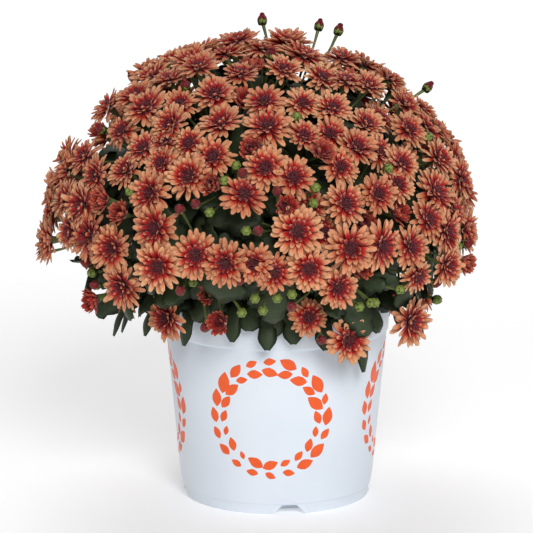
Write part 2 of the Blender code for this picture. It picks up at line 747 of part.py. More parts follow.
def skirt_leaf(name, azimuth, distance, height, width, stem, into):
    """A leaf on a long stalk that clears the rim and hangs down outside the pot."""
    start = at(azimuth, *RIM_CROSSING[0])
    bend = at(azimuth, max(RIM_CROSSING[1][0], distance - RIM_TURN), RIM_CROSSING[1][1])
    tip = at(azimuth, distance, height)
    side = Vector((math.cos(azimuth), math.sin(azimuth), 0))
    root = stem_nodes(stem)[2]
    stalk = tube(name + "_stalk", (root, start.lerp(bend, 0.08)), PETIOLE_RADII, 3, into)
    return [stalk, leaf_piece(name, (start, bend, tip), side, width, into)]


def build_stem(stem, forks, look, into):
    name = f"leafy_stem_{stem + 1}"
    nodes = stem_nodes(stem)
    pieces = [tube(name + "_main", nodes, STEM_RADII, STEM_SIDES, into)]
    for k, direction in enumerate(forks):
        foot = on_dome(direction, STALK_SHARE)
        if stem_of(foot) != stem:
            continue
        end = foot + (DOME_CENTRE - foot).normalized() * TOUCH_GAP
        start = min(nodes[2:], key=lambda node: (node - end).length + (RISING_WAY if node.z > end.z else 0))
        pieces.append(branch(f"{name}_branch_{k}", start, end, direction, into))
        leaf = inner_leaf(f"{name}_leaf_{k}", start, end, stem, 1 if k % 2 else -1, into)
        if leaf:
            pieces.append(leaf)
    for k, (degrees, distance, height, width) in enumerate(SKIRT_LEAVES):
        turn = math.radians(degrees)
        if stem_of(at(turn, 1, 0)) == stem:
            sizes = (distance * MM, height * MM, width * MM)
            pieces += skirt_leaf(f"{name}_skirt_{k}", turn, *sizes, stem, into)
    fuse(name, pieces, look, into)


def branch(name, start, end, direction, into):
    """A tapered branch whose end is cut square to the spray's stalk, which it carries."""
    outward = (on_dome(direction, FORK_SHARE) - on_dome(direction, STALK_SHARE)).normalized()
    points = (start, end - outward * BRANCH_END, end)
    radii = (BRANCH_RADIUS * BRANCH_SWELL, BRANCH_RADIUS, BRANCH_RADIUS)
    return tube(name, points, radii, STALK_SIDES, into, outward)


def main():
    clear_scene()
    plant = collection("pot_chrysanthemum")
    white = material("pot_white", (0.80, 0.86, 0.93), 0.35)
    brown = material("potting_soil", (0.09, 0.055, 0.035), 0.95)
    green = material("leaf_green", (0.045, 0.09, 0.035), 0.55)
    coral = material("petal_coral", (0.72, 0.27, 0.13), 0.6)
    build_pot(white, plant)
    build_soil(brown, plant)
    forks = spiral(SPRAYS, SPRAY_EDGE_SINE)
    blooms = place_blooms(forks)
    buds = place_buds(blooms, forks)
    for stem in range(STEMS):
        build_stem(stem, forks, green, plant)
    build_sprays(blooms, buds, forks, coral, plant)


main()
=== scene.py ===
# Pot chrysanthemum in flower: petals, leaves, buds, soil, the printed pot and the studio, round
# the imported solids. Metres, +Z up. The pot's axis stands on the origin and its print faces -Y.

import itertools
import json
import math
import random

import bmesh
import bpy
from mathutils import Matrix, Vector

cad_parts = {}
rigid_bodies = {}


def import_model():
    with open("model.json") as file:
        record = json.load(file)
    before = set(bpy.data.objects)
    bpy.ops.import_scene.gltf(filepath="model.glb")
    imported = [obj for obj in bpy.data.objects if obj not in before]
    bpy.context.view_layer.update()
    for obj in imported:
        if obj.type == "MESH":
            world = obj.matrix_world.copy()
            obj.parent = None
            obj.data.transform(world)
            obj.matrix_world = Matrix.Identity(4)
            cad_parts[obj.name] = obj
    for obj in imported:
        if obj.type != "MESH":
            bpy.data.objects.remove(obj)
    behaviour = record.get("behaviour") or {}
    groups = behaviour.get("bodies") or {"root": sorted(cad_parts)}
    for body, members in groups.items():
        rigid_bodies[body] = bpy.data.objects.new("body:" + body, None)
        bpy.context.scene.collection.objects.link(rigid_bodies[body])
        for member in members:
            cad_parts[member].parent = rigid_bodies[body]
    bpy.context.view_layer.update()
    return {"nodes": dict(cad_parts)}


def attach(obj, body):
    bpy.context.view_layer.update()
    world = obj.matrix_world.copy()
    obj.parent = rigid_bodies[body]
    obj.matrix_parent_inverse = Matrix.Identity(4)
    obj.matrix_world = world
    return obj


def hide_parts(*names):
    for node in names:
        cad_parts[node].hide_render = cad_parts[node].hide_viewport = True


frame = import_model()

mm = 0.001


# Camera, at the photograph's viewing angle

cameraPlan = {
    "distance": 2.4,
    "elevation": math.radians(11.2),
    "lookAt": Vector((-7.73, 0, 178.4)) * mm,
    "lens": 209.8,
    "sensor": 36.0,
}


def makeCamera(plan):
    data = bpy.data.cameras.new("studioCamera")
    data.lens = plan["lens"]
    data.sensor_width = plan["sensor"]
    camera = bpy.data.objects.new("studioCamera", data)
    bpy.context.scene.collection.objects.link(camera)
    back = Vector((0, -math.cos(plan["elevation"]), math.sin(plan["elevation"])))
    camera.location = plan["lookAt"] + back * plan["distance"]
    camera.rotation_euler = (-back).to_track_quat("-Z", "Y").to_euler()
    bpy.context.scene.camera = camera


# Helpers for node trees

def newTree(name, kind, inputs, outputs):
    tree = bpy.data.node_groups.new(name, kind)
    for label, socketKind, value in inputs:
        socket = tree.interface.new_socket(label, in_out="INPUT", socket_type=socketKind)
        if value is not None:
            socket.default_value = value
    for label, socketKind in outputs:
        tree.interface.new_socket(label, in_out="OUTPUT", socket_type=socketKind)
    return tree, tree.nodes.new("NodeGroupInput").outputs, tree.nodes.new("NodeGroupOutput").inputs


def addNode(tree, kind, sockets=None, **settings):
    node = tree.nodes.new(kind)
    for key, value in settings.items():
        setattr(node, key, value)
    for key, value in (sockets or {}).items():
        if isinstance(value, bpy.types.NodeSocket):
            tree.links.new(value, node.inputs[key])
        else:
            node.inputs[key].default_value = value
    return node


def readAttribute(tree, name, kind="FLOAT"):
    node = addNode(tree, "GeometryNodeInputNamedAttribute", {"Name": name}, data_type=kind)
    return node.outputs["Attribute"]


def maths(tree, operation, one, two=0.0):
    return addNode(tree, "ShaderNodeMath", {0: one, 1: two}, operation=operation).outputs[0]


def randomBetween(tree, low, high, seed):
    sockets = {2: low, 3: high, "Seed": seed}
    return addNode(tree, "FunctionNodeRandomValue", sockets, data_type="FLOAT").outputs[1]


def position(tree):
    here = addNode(tree, "GeometryNodeInputPosition").outputs[0]
    return addNode(tree, "ShaderNodeSeparateXYZ", {0: here}).outputs


# One tree for all that grows: shapes on points, stalks along edges, and leaves bent one by one

def makeSprigTree():
    tree, given, result = newTree("sprigs", "GeometryNodeTree", [
        ("Points", "NodeSocketGeometry", None),
        ("Shapes", "NodeSocketCollection", None),
        ("Bent blades", "NodeSocketCollection", None),
        ("Roll spread", "NodeSocketFloat", 0.2),
        ("Width spread", "NodeSocketFloat", 0.1),
        ("Stalk rings", "NodeSocketInt", 6),
        ("Stalk sides", "NodeSocketInt", 5),
        ("Seed", "NodeSocketInt", 1),
        ("Blade finish", "NodeSocketMaterial", None),
        ("Stalk finish", "NodeSocketMaterial", None),
    ], [("Mesh", "NodeSocketGeometry")])
    # Points of stalks have the shape -1, so that anything above -0.5 is a blade
    isBlade = addNode(tree, "FunctionNodeCompare", {
        0: readAttribute(tree, "shape"), 1: -0.5}, operation="GREATER_THAN")
    parts = addNode(tree, "GeometryNodeSeparateGeometry", {
        "Geometry": given["Points"], "Selection": isBlade.outputs[0]})

    axes = addNode(tree, "FunctionNodeAxesToRotation", {
        "Primary Axis": readAttribute(tree, "pointing", "FLOAT_VECTOR"),
        "Secondary Axis": readAttribute(tree, "facing", "FLOAT_VECTOR"),
    }, primary_axis="X", secondary_axis="Z")
    least = maths(tree, "MULTIPLY", given["Roll spread"], -1.0)
    roll = randomBetween(tree, least, given["Roll spread"], given["Seed"])
    rollTurn = addNode(tree, "FunctionNodeAxisAngleToRotation", {"Axis": (1, 0, 0), "Angle": roll})
    turn = addNode(tree, "FunctionNodeRotateRotation", {
        "Rotation": axes.outputs[0], "Rotate By": rollTurn.outputs[0]}, rotation_space="LOCAL")
    narrow = maths(tree, "SUBTRACT", 1.0, given["Width spread"])
    wide = maths(tree, "ADD", 1.0, given["Width spread"])
    width = randomBetween(tree, narrow, wide, given["Seed"])
    stretch = addNode(tree, "ShaderNodeCombineXYZ", {"X": 1.0, "Y": width, "Z": 1.0})
    scale = addNode(tree, "ShaderNodeVectorMath", {
        0: readAttribute(tree, "size", "FLOAT_VECTOR"), 1: stretch.outputs[0]}, operation="MULTIPLY")
    shapes = addNode(tree, "GeometryNodeCollectionInfo", {
        "Collection": given["Shapes"], "Separate Children": True, "Reset Children": True})
    placed = addNode(tree, "GeometryNodeInstanceOnPoints", {
        "Points": parts.outputs["Selection"],
        "Instance": shapes.outputs[0],
        "Pick Instance": True,
        "Instance Index": readAttribute(tree, "shape"),
        "Rotation": turn.outputs[0],
        "Scale": scale.outputs[0],
    })
    bent = addNode(tree, "GeometryNodeCollectionInfo", {"Collection": given["Bent blades"]})
    blades = addNode(tree, "GeometryNodeJoinGeometry")
    tree.links.new(placed.outputs[0], blades.inputs[0])
    tree.links.new(bent.outputs[0], blades.inputs[0])
    realBlades = addNode(tree, "GeometryNodeRealizeInstances", {0: blades.outputs[0]})
    finished = addNode(tree, "GeometryNodeSetMaterial", {
        "Geometry": realBlades.outputs[0], "Material": given["Blade finish"]})

    lines = addNode(tree, "GeometryNodeMeshToCurve", {0: parts.outputs["Inverted"]})
    smooth = addNode(tree, "GeometryNodeCurveSplineType", {0: lines.outputs[0]}, spline_type="CATMULL_ROM")
    rings = addNode(tree, "GeometryNodeResampleCurve", {
        "Curve": smooth.outputs[0], "Count": given["Stalk rings"]})
    section = addNode(tree, "GeometryNodeCurvePrimitiveCircle", {
        "Resolution": given["Stalk sides"], "Radius": 1.0})
    tubes = addNode(tree, "GeometryNodeCurveToMesh", {
        "Curve": rings.outputs[0],
        "Profile Curve": section.outputs[0],
        "Scale": readAttribute(tree, "girth"),
        "Fill Caps": True,
    })
    realTubes = addNode(tree, "GeometryNodeRealizeInstances", {0: tubes.outputs[0]})
    stalks = addNode(tree, "GeometryNodeSetMaterial", {
        "Geometry": realTubes.outputs[0], "Material": given["Stalk finish"]})

    both = addNode(tree, "GeometryNodeJoinGeometry")
    tree.links.new(stalks.outputs[0], both.inputs[0])
    tree.links.new(finished.outputs[0], both.inputs[0])
    soft = addNode(tree, "GeometryNodeSetShadeSmooth", {"Geometry": both.outputs[0]})
    tree.links.new(soft.outputs[0], result["Mesh"])
    return tree


attributeKinds = {
    "shape": "FLOAT", "girth": "FLOAT", "tint": "FLOAT", "age": "FLOAT", "layer": "FLOAT",
    "pointing": "FLOAT_VECTOR", "facing": "FLOAT_VECTOR", "size": "FLOAT_VECTOR",
}


class Sprig:
    # Points that carry shapes and chains of points that carry stalks, with what each is to be
    def __init__(self):
        self.points, self.edges = [], []
        self.values = {name: [] for name in attributeKinds}

    def addPoint(self, point, **values):
        self.points.append(point)
        for name, kind in attributeKinds.items():
            self.values[name].append(values.get(name, (0, 0, 1) if kind == "FLOAT_VECTOR" else 0.0))

    def addBlade(self, root, shape, pointing, facing, size, **values):
        self.addPoint(root, shape=float(shape), pointing=pointing, facing=facing, size=size, **values)

    def addStalk(self, points, radii, **values):
        first = len(self.points)
        for point, radius in zip(points, radii):
            self.addPoint(point, shape=-1.0, girth=radius, **values)
        self.edges += [(first + k, first + k + 1) for k in range(len(points) - 1)]


def setInputs(modifier, values):
    for item in modifier.node_group.interface.items_tree:
        if item.item_type == "SOCKET" and item.in_out == "INPUT" and item.name in values:
            modifier[item.identifier] = values[item.name]


def growPiece(name, sprig, tree, inputs):
    mesh = bpy.data.meshes.new(name)
    mesh.from_pydata(sprig.points, sprig.edges, [])
    for label, kind in attributeKinds.items():
        field = mesh.attributes.new(label, kind, "POINT")
        if kind == "FLOAT":
            field.data.foreach_set("value", sprig.values[label])
        else:
            field.data.foreach_set("vector", [x for vector in sprig.values[label] for x in vector])
    return evaluatePiece(name, mesh, tree, inputs)


def evaluatePiece(name, mesh, tree, inputs):
    piece = bpy.data.objects.new(name, mesh)
    bpy.context.scene.collection.objects.link(piece)
    modifier = piece.modifiers.new("grow", "NODES")
    modifier.node_group = tree
    setInputs(modifier, inputs)
    depsgraph = bpy.context.evaluated_depsgraph_get()
    grown = bpy.data.meshes.new_from_object(
        piece.evaluated_get(depsgraph), preserve_all_data_layers=True, depsgraph=depsgraph)
    piece.modifiers.remove(modifier)
    piece.data = grown
    grown.name = name
    for label in ("shape", "girth", "pointing", "facing", "size"):
        if label in grown.attributes:
            grown.attributes.remove(grown.attributes[label])
    return piece


def shapeCollection(name):
    made = bpy.data.collections.new(name)
    bpy.context.scene.collection.children.link(made)
    return made


def dropCollection(group):
    for shape in list(group.objects):
        bpy.data.objects.remove(shape)
    bpy.data.collections.remove(group)


# Shader groups that several finishes share

def makeMottleGroup():
    tree, given, result = newTree("mottle", "ShaderNodeTree", [
        ("Colour", "NodeSocketColor", (1, 1, 1, 1)),
        ("Dark colour", "NodeSocketColor", (0, 0, 0, 1)),
        ("Scale", "NodeSocketFloat", 60.0),
        ("Strength", "NodeSocketFloat", 0.5),
    ], [("Colour", "NodeSocketColor"), ("Mask", "NodeSocketFloat")])
    place = addNode(tree, "ShaderNodeTexCoord").outputs["Object"]
    noise = addNode(tree, "ShaderNodeTexNoise", {"Vector": place, "Scale": given["Scale"], "Detail": 5.0})
    spread = addNode(tree, "ShaderNodeMapRange", {"Value": noise.outputs[0], 1: 0.35, 2: 0.65})
    amount = maths(tree, "MULTIPLY", spread.outputs[0], given["Strength"])
    mixed = addNode(tree, "ShaderNodeMix", {
        0: amount, 6: given["Colour"], 7: given["Dark colour"]}, data_type="RGBA")
    tree.links.new(mixed.outputs[2], result["Colour"])
    tree.links.new(spread.outputs[0], result["Mask"])
    return tree


def mottled(tree, mottle, colour, dark, scale, strength=0.5):
    # The shared group at work between two colours, of which the first may come from a socket
    given = colour if isinstance(colour, bpy.types.NodeSocket) else (*linear(colour), 1)
    return addNode(tree, "ShaderNodeGroup", {
        "Colour": given, "Dark colour": (*linear(dark), 1), "Scale": scale, "Strength": strength,
    }, node_tree=mottle).outputs


def newFinish(name, roughness):
    finish = bpy.data.materials.new(name)
    finish.use_nodes = True
    tree = finish.node_tree
    shader = tree.nodes["Principled BSDF"]
    shader.inputs["Roughness"].default_value = roughness
    return finish, tree, shader.inputs


def bladeAttribute(tree, name):
    return addNode(tree, "ShaderNodeAttribute", attribute_name=name).outputs["Fac"]


def ramp(tree, factor, stops):
    node = addNode(tree, "ShaderNodeValToRGB", {0: factor})
    elements = node.color_ramp.elements
    while len(elements) < len(stops):
        elements.new(0.5)
    for element, (place, colour) in zip(elements, stops):
        element.position = place
        element.color = (*linear(colour), 1)
    return node.outputs[0]


def linear(colour):
    # A colour on the screen's 0 to 255 scale, as Blender's own linear values
    return tuple((c / 255 / 12.92 if c < 10.3 else ((c / 255 + 0.055) / 1.055) ** 2.4) for c in colour)


def mix(tree, factor, one, two):
    node = addNode(tree, "ShaderNodeMix", {0: factor}, data_type="RGBA")
    for key, value in ((6, one), (7, two)):
        if isinstance(value, bpy.types.NodeSocket):
            tree.links.new(value, node.inputs[key])
        else:
            node.inputs[key].default_value = (*linear(value), 1)
    return node.outputs[2]


def bump(tree, height, strength, distance):
    node = addNode(tree, "ShaderNodeBump", {"Strength": strength, "Distance": distance, "Height": height})
    return node.outputs[0]


petalLook = {
    "pale": ((0.30, (206, 98, 60)), (0.62, (230, 158, 108)), (1.0, (242, 200, 152))),
    "red": ((0.0, (132, 0, 8)), (0.22, (178, 6, 14)), (0.45, (204, 34, 22))),
    "young": ((0.0, (116, 4, 12)), (0.42, (154, 10, 16)), (0.72, (186, 38, 28)), (1.0, (228, 134, 92))),
    "redReach": (0.33, 0.54),  # where the red starts to fade along an outer petal, and where it ends
    "redSteps": (0.13, 0.30),  # how much further it runs along the streaks, and in the inmost ring
    # Laid over the pale colour one after the other, each with its share
    "edge": ((226, 132, 96), 0.5),
    "streak": ((200, 78, 50), 0.16),
    "under": ((212, 126, 92), 0.7),
    "browner": ((196, 116, 74), 0.36),
    "mottle": (160, 0.14),  # its scale and strength
    "disc": (88, 14, 28),
    "lines": 15.0,  # how many waves of streaks there are from side to side, in radians
}


def makePetalFinish(look, mottle):
    # Deep red at the petal's root and salmon at its tip, with fine lines along it and a pinker underside
    finish, tree, shader = newFinish("petalFinish", 0.62)
    shader["Sheen Weight"].default_value = 0.18
    shader["Sheen Roughness"].default_value = 0.4
    shader["Specular IOR Level"].default_value = 0.3
    along, across, tint, age, layer = (
        bladeAttribute(tree, name) for name in ("along", "across", "tint", "age", "layer"))
    lines = maths(tree, "SINE", maths(tree, "MULTIPLY", across, look["lines"]))
    streak = maths(tree, "MULTIPLY", maths(tree, "ADD", lines, 1.0), 0.5)
    atEdge = maths(tree, "POWER", maths(tree, "ABSOLUTE", across), 3.0)
    under = bladeAttribute(tree, "under")
    colour = ramp(tree, along, look["pale"])
    for label, mask in (("edge", atEdge), ("streak", streak), ("under", under), ("browner", tint)):
        shade, share = look[label]
        colour = mix(tree, maths(tree, "MULTIPLY", mask, share), colour, shade)
    colour = mottled(tree, mottle, colour, look["streak"][0], *look["mottle"])["Colour"]
    # The red runs further out along the lines and in the inner rings
    reach = maths(tree, "SUBTRACT", along, maths(tree, "MULTIPLY", streak, look["redSteps"][0]))
    reach = maths(tree, "SUBTRACT", reach, maths(tree, "MULTIPLY", layer, look["redSteps"][1]))
    fade = addNode(tree, "ShaderNodeMapRange", {
        "Value": reach, 1: look["redReach"][0], 2: look["redReach"][1], 3: 1.0, 4: 0.0}).outputs[0]
    colour = mix(tree, fade, colour, ramp(tree, reach, look["red"]))
    colour = mix(tree, age, colour, ramp(tree, reach, look["young"]))
    isDisc = maths(tree, "GREATER_THAN", layer, 1.5)
    tree.links.new(mix(tree, isDisc, colour, look["disc"]), shader["Base Color"])
    tree.links.new(bump(tree, streak, 0.5, 0.0005), shader["Normal"])
    return finish


leafLook = {
    "top": (29, 40, 21),
    "dark": (16, 26, 13),
    "mottle": (90, 0.8),  # its scale and strength
    "vein": (62, 76, 42),
    "veinShare": 0.55,
    "tintShare": 0.28,
    "under": (52, 66, 40),
    "underShare": 0.8,
    "midrib": 0.07,  # its half width, as a share of the leaf's
    "lateral": 0.06,  # half the width of a side vein, as a share of the way to the next
    "veinLean": -0.35,  # how far towards the tip the side veins run
    "veinDepth": -0.6,
    "stalk": (96, 108, 60),
    "stalkDark": (70, 74, 44),
    "bud": (118, 134, 56),
}


def makeLeafFinish(look, mottle):
    finish, tree, shader = newFinish("leafFinish", 0.5)
    shader["Specular IOR Level"].default_value = 0.3
    along, across = bladeAttribute(tree, "along"), bladeAttribute(tree, "across")
    tint = bladeAttribute(tree, "tint")
    side = maths(tree, "ABSOLUTE", across)
    rows = maths(tree, "MULTIPLY", along, leafPlan["lobes"] + 0.5)
    comb = maths(tree, "ADD", rows, maths(tree, "MULTIPLY", side, look["veinLean"]))
    nearVein = maths(tree, "ABSOLUTE", maths(tree, "SUBTRACT", maths(tree, "FRACT", comb), 0.5))
    midrib = maths(tree, "LESS_THAN", side, look["midrib"])
    veins = maths(tree, "MAXIMUM", midrib, maths(tree, "LESS_THAN", nearVein, look["lateral"]))
    group = mottled(tree, mottle, look["top"], look["dark"], *look["mottle"])
    colour = mix(tree, maths(tree, "MULTIPLY", veins, look["veinShare"]), group["Colour"], look["vein"])
    colour = mix(tree, maths(tree, "MULTIPLY", tint, look["tintShare"]), colour, look["vein"])
    under = maths(tree, "MULTIPLY", bladeAttribute(tree, "under"), look["underShare"])
    tree.links.new(mix(tree, under, colour, look["under"]), shader["Base Color"])
    sunk = maths(tree, "MULTIPLY", veins, look["veinDepth"])
    height = maths(tree, "ADD", maths(tree, "MULTIPLY", group["Mask"], 0.5), sunk)
    tree.links.new(bump(tree, height, 0.5, 0.0008), shader["Normal"])
    return finish


def makeStalkFinish(look, mottle):
    finish, tree, shader = newFinish("stalkFinish", 0.55)
    group = mottled(tree, mottle, look["stalk"], look["stalkDark"], 220)
    colour = mix(tree, bladeAttribute(tree, "tint"), group["Colour"], look["bud"])
    tree.links.new(colour, shader["Base Color"])
    tree.links.new(bump(tree, group["Mask"], 0.3, 0.0004), shader["Normal"])
    return finish


# Blades: closed thin shapes of rows and a cross-section, with the root at the origin, X along and Z up

petalPlan = {
    "rows": ((0.0, 0.36), (0.28, 0.68), (0.56, 0.97), (0.80, 0.96), (0.94, 0.60)),
    "section": ((-1, 0.010), (-0.5, 0.040), (0, 0.004), (0.5, 0.040), (1, 0.010)),
    "thickness": 0.034,
}
smallPetalPlan = {
    "rows": ((0.0, 0.55), (0.45, 1.0), (0.85, 0.72)),
    "section": ((-1, 0.03), (0, 0.0), (1, 0.03)),
    "thickness": 0.05,
}
bractPlan = {
    "rows": ((0.0, 0.75), (0.4, 1.0), (0.75, 0.62)),
    "section": ((-1, 0), (0, 0.05), (1, 0)),
    "thickness": 0.09,
}
leafPlan = {
    "length": 46 * mm,
    "width": 30 * mm,
    "thickness": 0.7 * mm,
    "lobes": 3,
    "lobeDepth": 0.60,
    "lean": 0.34,  # how far the lobes point forward
    "rows": 22,
    "fold": 0.20,
}


def bladeShape(name, plan, curl, trough, into):
    bm = bmesh.new()
    along, across, under = (bm.verts.layers.float.new(label) for label in ("along", "across", "under"))
    top = [(s, lift + trough * s * s, 0.0) for s, lift in plan["section"]]
    below = [(s, lift - plan["thickness"], 1.0) for s, lift, _ in reversed(top[1:-1])]
    if len(below) > 1:
        below = [(0, top[len(top) // 2][1] - plan["thickness"], 1.0)]
    rings = []
    for t, half in plan["rows"]:
        ring = []
        for s, lift, side in top + below:
            vert = bm.verts.new((t * (1 - 0.2 * curl * curl * t), s * half, curl * t * t + lift * half))
            vert[along], vert[across], vert[under] = t, s, side
            ring.append(vert)
        rings.append(ring)
    tip = bm.verts.new((1 - 0.2 * curl * curl, 0, curl + plan["section"][0][1] / 2))
    tip[along] = 1.0
    joinRings(bm, rings)
    count = len(rings[0])
    for k in range(count):
        bm.faces.new((rings[-1][k], rings[-1][(k + 1) % count], tip))
    bm.faces.new(rings[0])
    return finishShape(name, bm, into)


def joinRings(bm, rings):
    count = len(rings[0])
    for lower, upper in zip(rings, rings[1:]):
        for k in range(count):
            after = (k + 1) % count
            bm.faces.new((lower[k], lower[after], upper[after], upper[k]))


def finishShape(name, bm, into):
    bmesh.ops.recalc_face_normals(bm, faces=bm.faces)
    mesh = bpy.data.meshes.new(name)
    bm.to_mesh(mesh)
    bm.free()
    shape = bpy.data.objects.new(name, mesh)
    into.objects.link(shape)
    return shape


def floretShape(name, into):
    # A disc floret: a four-sided bud of unit height
    bm = bmesh.new()
    layers = [bm.verts.layers.float.new(label) for label in ("along", "across", "under")]
    rings = [[bm.verts.new((x, r * math.cos(a), r * math.sin(a))) for a in (0, 1.571, 3.142, 4.712)]
             for x, r in ((0, 0.7), (0.6, 1.0))]  # quarter turns in radians
    tip = bm.verts.new((1.2, 0, 0))
    tip[layers[0]] = 1.0
    joinRings(bm, rings)
    for k in range(4):
        bm.faces.new((rings[1][k], rings[1][(k + 1) % 4], tip))
    bm.faces.new(rings[0])
    return finishShape(name, bm, into)


def leafHalfWidth(t):
    # A wedge at the root, three rounded lobes a side and a rounded tip, as a share of half the leaf's width
    envelope = math.sin(math.pi * min(1, t) ** 0.85) ** 0.6
    phase = (t - 0.10) * (leafPlan["lobes"] + 0.15)
    lobe = abs(math.sin(math.pi * phase)) ** 0.6 if t > 0.10 else 0.3
    teeth = 0.06 * math.sin(math.pi * phase * 6)
    return max(0.05, envelope * (1 - leafPlan["lobeDepth"] * (1 - lobe) + teeth * (t < 0.95)))


def bezier(points, t):
    a, b, c = points
    return a * (1 - t) ** 2 + b * (2 * t * (1 - t)) + c * t * t


def leafShape(name, spine, side, width, rows, into):
    # A lobed leaf along a bent spine of three points, with its veins sunk and its edges a little wavy
    bm = bmesh.new()
    along, across, under = (bm.verts.layers.float.new(label) for label in ("along", "across", "under"))
    length = (spine[2] - spine[1]).length + (spine[1] - spine[0]).length
    columns = (-1, -0.5, 0, 0.5, 1)
    rings = []
    for k in range(rows):
        t = 0.02 + 0.96 * k / (rows - 1)
        half = leafHalfWidth(t) * width / 2
        ring = []
        for s in (*columns, 0.5, 0, -0.5):
            below = len(ring) >= len(columns)
            u = min(0.999, t + leafPlan["lean"] * abs(s) * half / length)
            here = bezier(spine, u)
            ahead = (bezier(spine, min(1, u + 0.02)) - bezier(spine, max(0, u - 0.02))).normalized()
            face = side.cross(ahead).normalized()
            vein = -0.05 if s == 0 else 0
            wave = 0.08 * math.sin(9 * t + 3 * s) * s * s
            lift = (leafPlan["fold"] * abs(s) + vein + wave) * half
            vert = bm.verts.new(here + side * s * half + face * (lift - leafPlan["thickness"] * below))
            vert[along], vert[across], vert[under] = t, s, float(below)
            ring.append(vert)
        rings.append(ring)
    joinRings(bm, rings)
    bm.faces.new(rings[0])
    bm.faces.new(rings[-1])
    return finishShape(name, bm, into)


# Where everything stands: the same rules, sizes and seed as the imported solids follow

domePlan = {
    "centre": Vector((-11, 0, 201)) * mm,
    "radii": Vector((166, 161, 153)) * mm,
    "edgeSine": -0.30,
    "tuck": 1.8,
    "lowFacing": 0.6,
    "blooms": 224,
    "sprays": 33,
    "sprayEdgeSine": -0.16,
    "seed": 11,
    "scatter": 0.05,
    "closest": 0.165,
    "frontClosest": 0.12,
    "depthScatter": 6 * mm,
    "leanScatter": 0.20,
    # Only leaves and the blooms that are listed show here: azimuth and sine, each from and to
    "leafyZones": ((-112, 105, -1.0, -0.02), (75, 100, -0.02, 0.06), (-105, -86, 0.40, 0.80)),
    "openLengths": (17.5 * mm, 21.5 * mm),
    "youngLengths": (10.5 * mm, 14 * mm),
    "youngShare": 0.10,
    "youngLength": 14.5 * mm,
    "forkShare": 0.66,
    "stalkShare": 0.60,
    "budRadius": 4.6 * mm,
    "budRise": 4 * mm,
    "budClearAngle": math.radians(13),
    "skirtLift": 0.08,
    # A second layer of blooms, half hidden in the gaps: candidates, share of the dome, gap and petal length
    "secondLayer": {
        "count": 420, "edge": 0.0, "share": 0.90, "gap": 0.125, "lengths": (13.5 * mm, 17 * mm), "lean": 0.3,
        "seed": 31,
        "leafyZones": ((-18, 6, 0.15, 0.39),),
    },
}
goldenAngle = math.pi * (3 - math.sqrt(5))

# Azimuth from the front in degrees, height and petal length in mm
frontBlooms = (
    (-62, 221, 18), (-67, 242, 17), (-43, 215, 20), (-40, 187, 20), (-29, 234, 21), (-27, 207, 21),
    (-17, 217, 20), (-9, 212, 19), (-2, 212, 17), (-55, 170, 13), (-32, 258, 20), (-21, 271, 19),
    (-40, 241, 13), (-5, 261, 19), (-33, 294, 15), (-40, 288, 17), (-44, 272, 17), (-31, 279, 15),
    (-24, 294, 15), (-15, 286, 18), (-34, 305, 18), (-15, 309, 19), (-64, 318, 19), (-58, 333, 16),
    (-23, 328, 19), (-90, 353, 20), (-48, 350, 18), (-56, 265, 17), (-71, 274, 17), (-43, 340, 17),
    (2, 353, 17), (90, 353, 22), (13, 340, 16), (37, 337, 16), (47, 332, 16), (2, 306, 21), (1, 323, 17),
    (1, 279, 19), (9, 272, 18), (6, 252, 12), (9, 235, 21), (3, 205, 17), (12, 208, 19), (20, 192, 18),
    (23, 221, 21), (33, 220, 21), (42, 216, 18), (50, 234, 18), (64, 235, 18), (23, 253, 19),
    (33, 257, 17), (41, 262, 16), (45, 275, 17), (24, 279, 16), (31, 290, 18), (24, 301, 16),
    (29, 317, 17), (40, 287, 16), (57, 296, 17), (41, 306, 16), (68, 273, 18), (90, 239, 16),
    (56, 197, 18), (45, 193, 15), (14, 300, 15), (17, 321, 15), (56, 326, 16), (90, 343, 17),
    (69, 311, 16), (90, 303, 15), (90, 288, 15), (-3, 292, 14), (-14, 340, 16), (90, 325, 15),
    (-36, 319, 15), (-56, 297, 15), (-14, 267, 13), (18, 287, 13), (-48, 249, 14), (68, 194, 13),
)
# Azimuth, height, and how far out on the dome
outlyingBuds = (
    (104, 305, 1.08), (-104, 183, 1.08), (140, 343, 1.11), (180, 349, 1.10), (-118, 315, 1.03),
    (120, 343, 1.10),
)
# Azimuth, distance from the axis, height and petal length
skirtBlooms = (
    (-42, 122, 157, 20), (-23, 127, 180, 11), (-20, 121, 159, 12), (11, 121, 164, 16), (26.5, 118, 144, 20),
    (55, 122, 150, 21), (112, 122, 148, 18), (134, 120, 139, 20), (161, 124, 148, 19),
    (197, 120, 138, 20), (226, 124, 147, 19), (252, 122, 143, 18),
)
# Small buds between the leaves at the front: azimuth, distance, height, and whether it shows red
frontBuds = (
    (-26, 160, 249, 1), (-22, 157, 253, 1), (-10, 144, 275, 1), (0, 149, 263, 1), (-26, 160, 189, 1),
    (-10, 158, 199, 1), (4, 148, 178, 1), (-5, 159, 236, 1), (-55, 174, 218, 1), (-57, 168, 199, 1),
    (-55, 164, 183, 1), (54, 146, 183, 1), (65, 157, 209, 1), (16, 119, 146, 1), (-26, 121, 154, 1),
    (-15, 148, 270, 0), (-18, 158, 248, 0), (-8, 160, 236, 0), (11, 146, 265, 0), (-6, 154, 185, 0),
    (-10, 148, 173, 0), (-4, 148, 175, 0), (4, 153, 188, 0), (0, 152, 185, 0), (38, 147, 184, 0),
    (25, 143, 174, 0), (30, 144, 176, 0), (73, 128, 160, 0),
)


def at(azimuth, distance, height):
    return Vector((distance * math.sin(azimuth), -distance * math.cos(azimuth), height))


def spiral(count, edgeSine):
    directions = []
    for i in range(count):
        sine = 1 - (i + 0.5) / count * (1 - edgeSine)
        across = math.sqrt(1 - sine * sine)
        turn = i * goldenAngle
        directions.append(Vector((across * math.sin(turn), -across * math.cos(turn), sine)))
    return directions


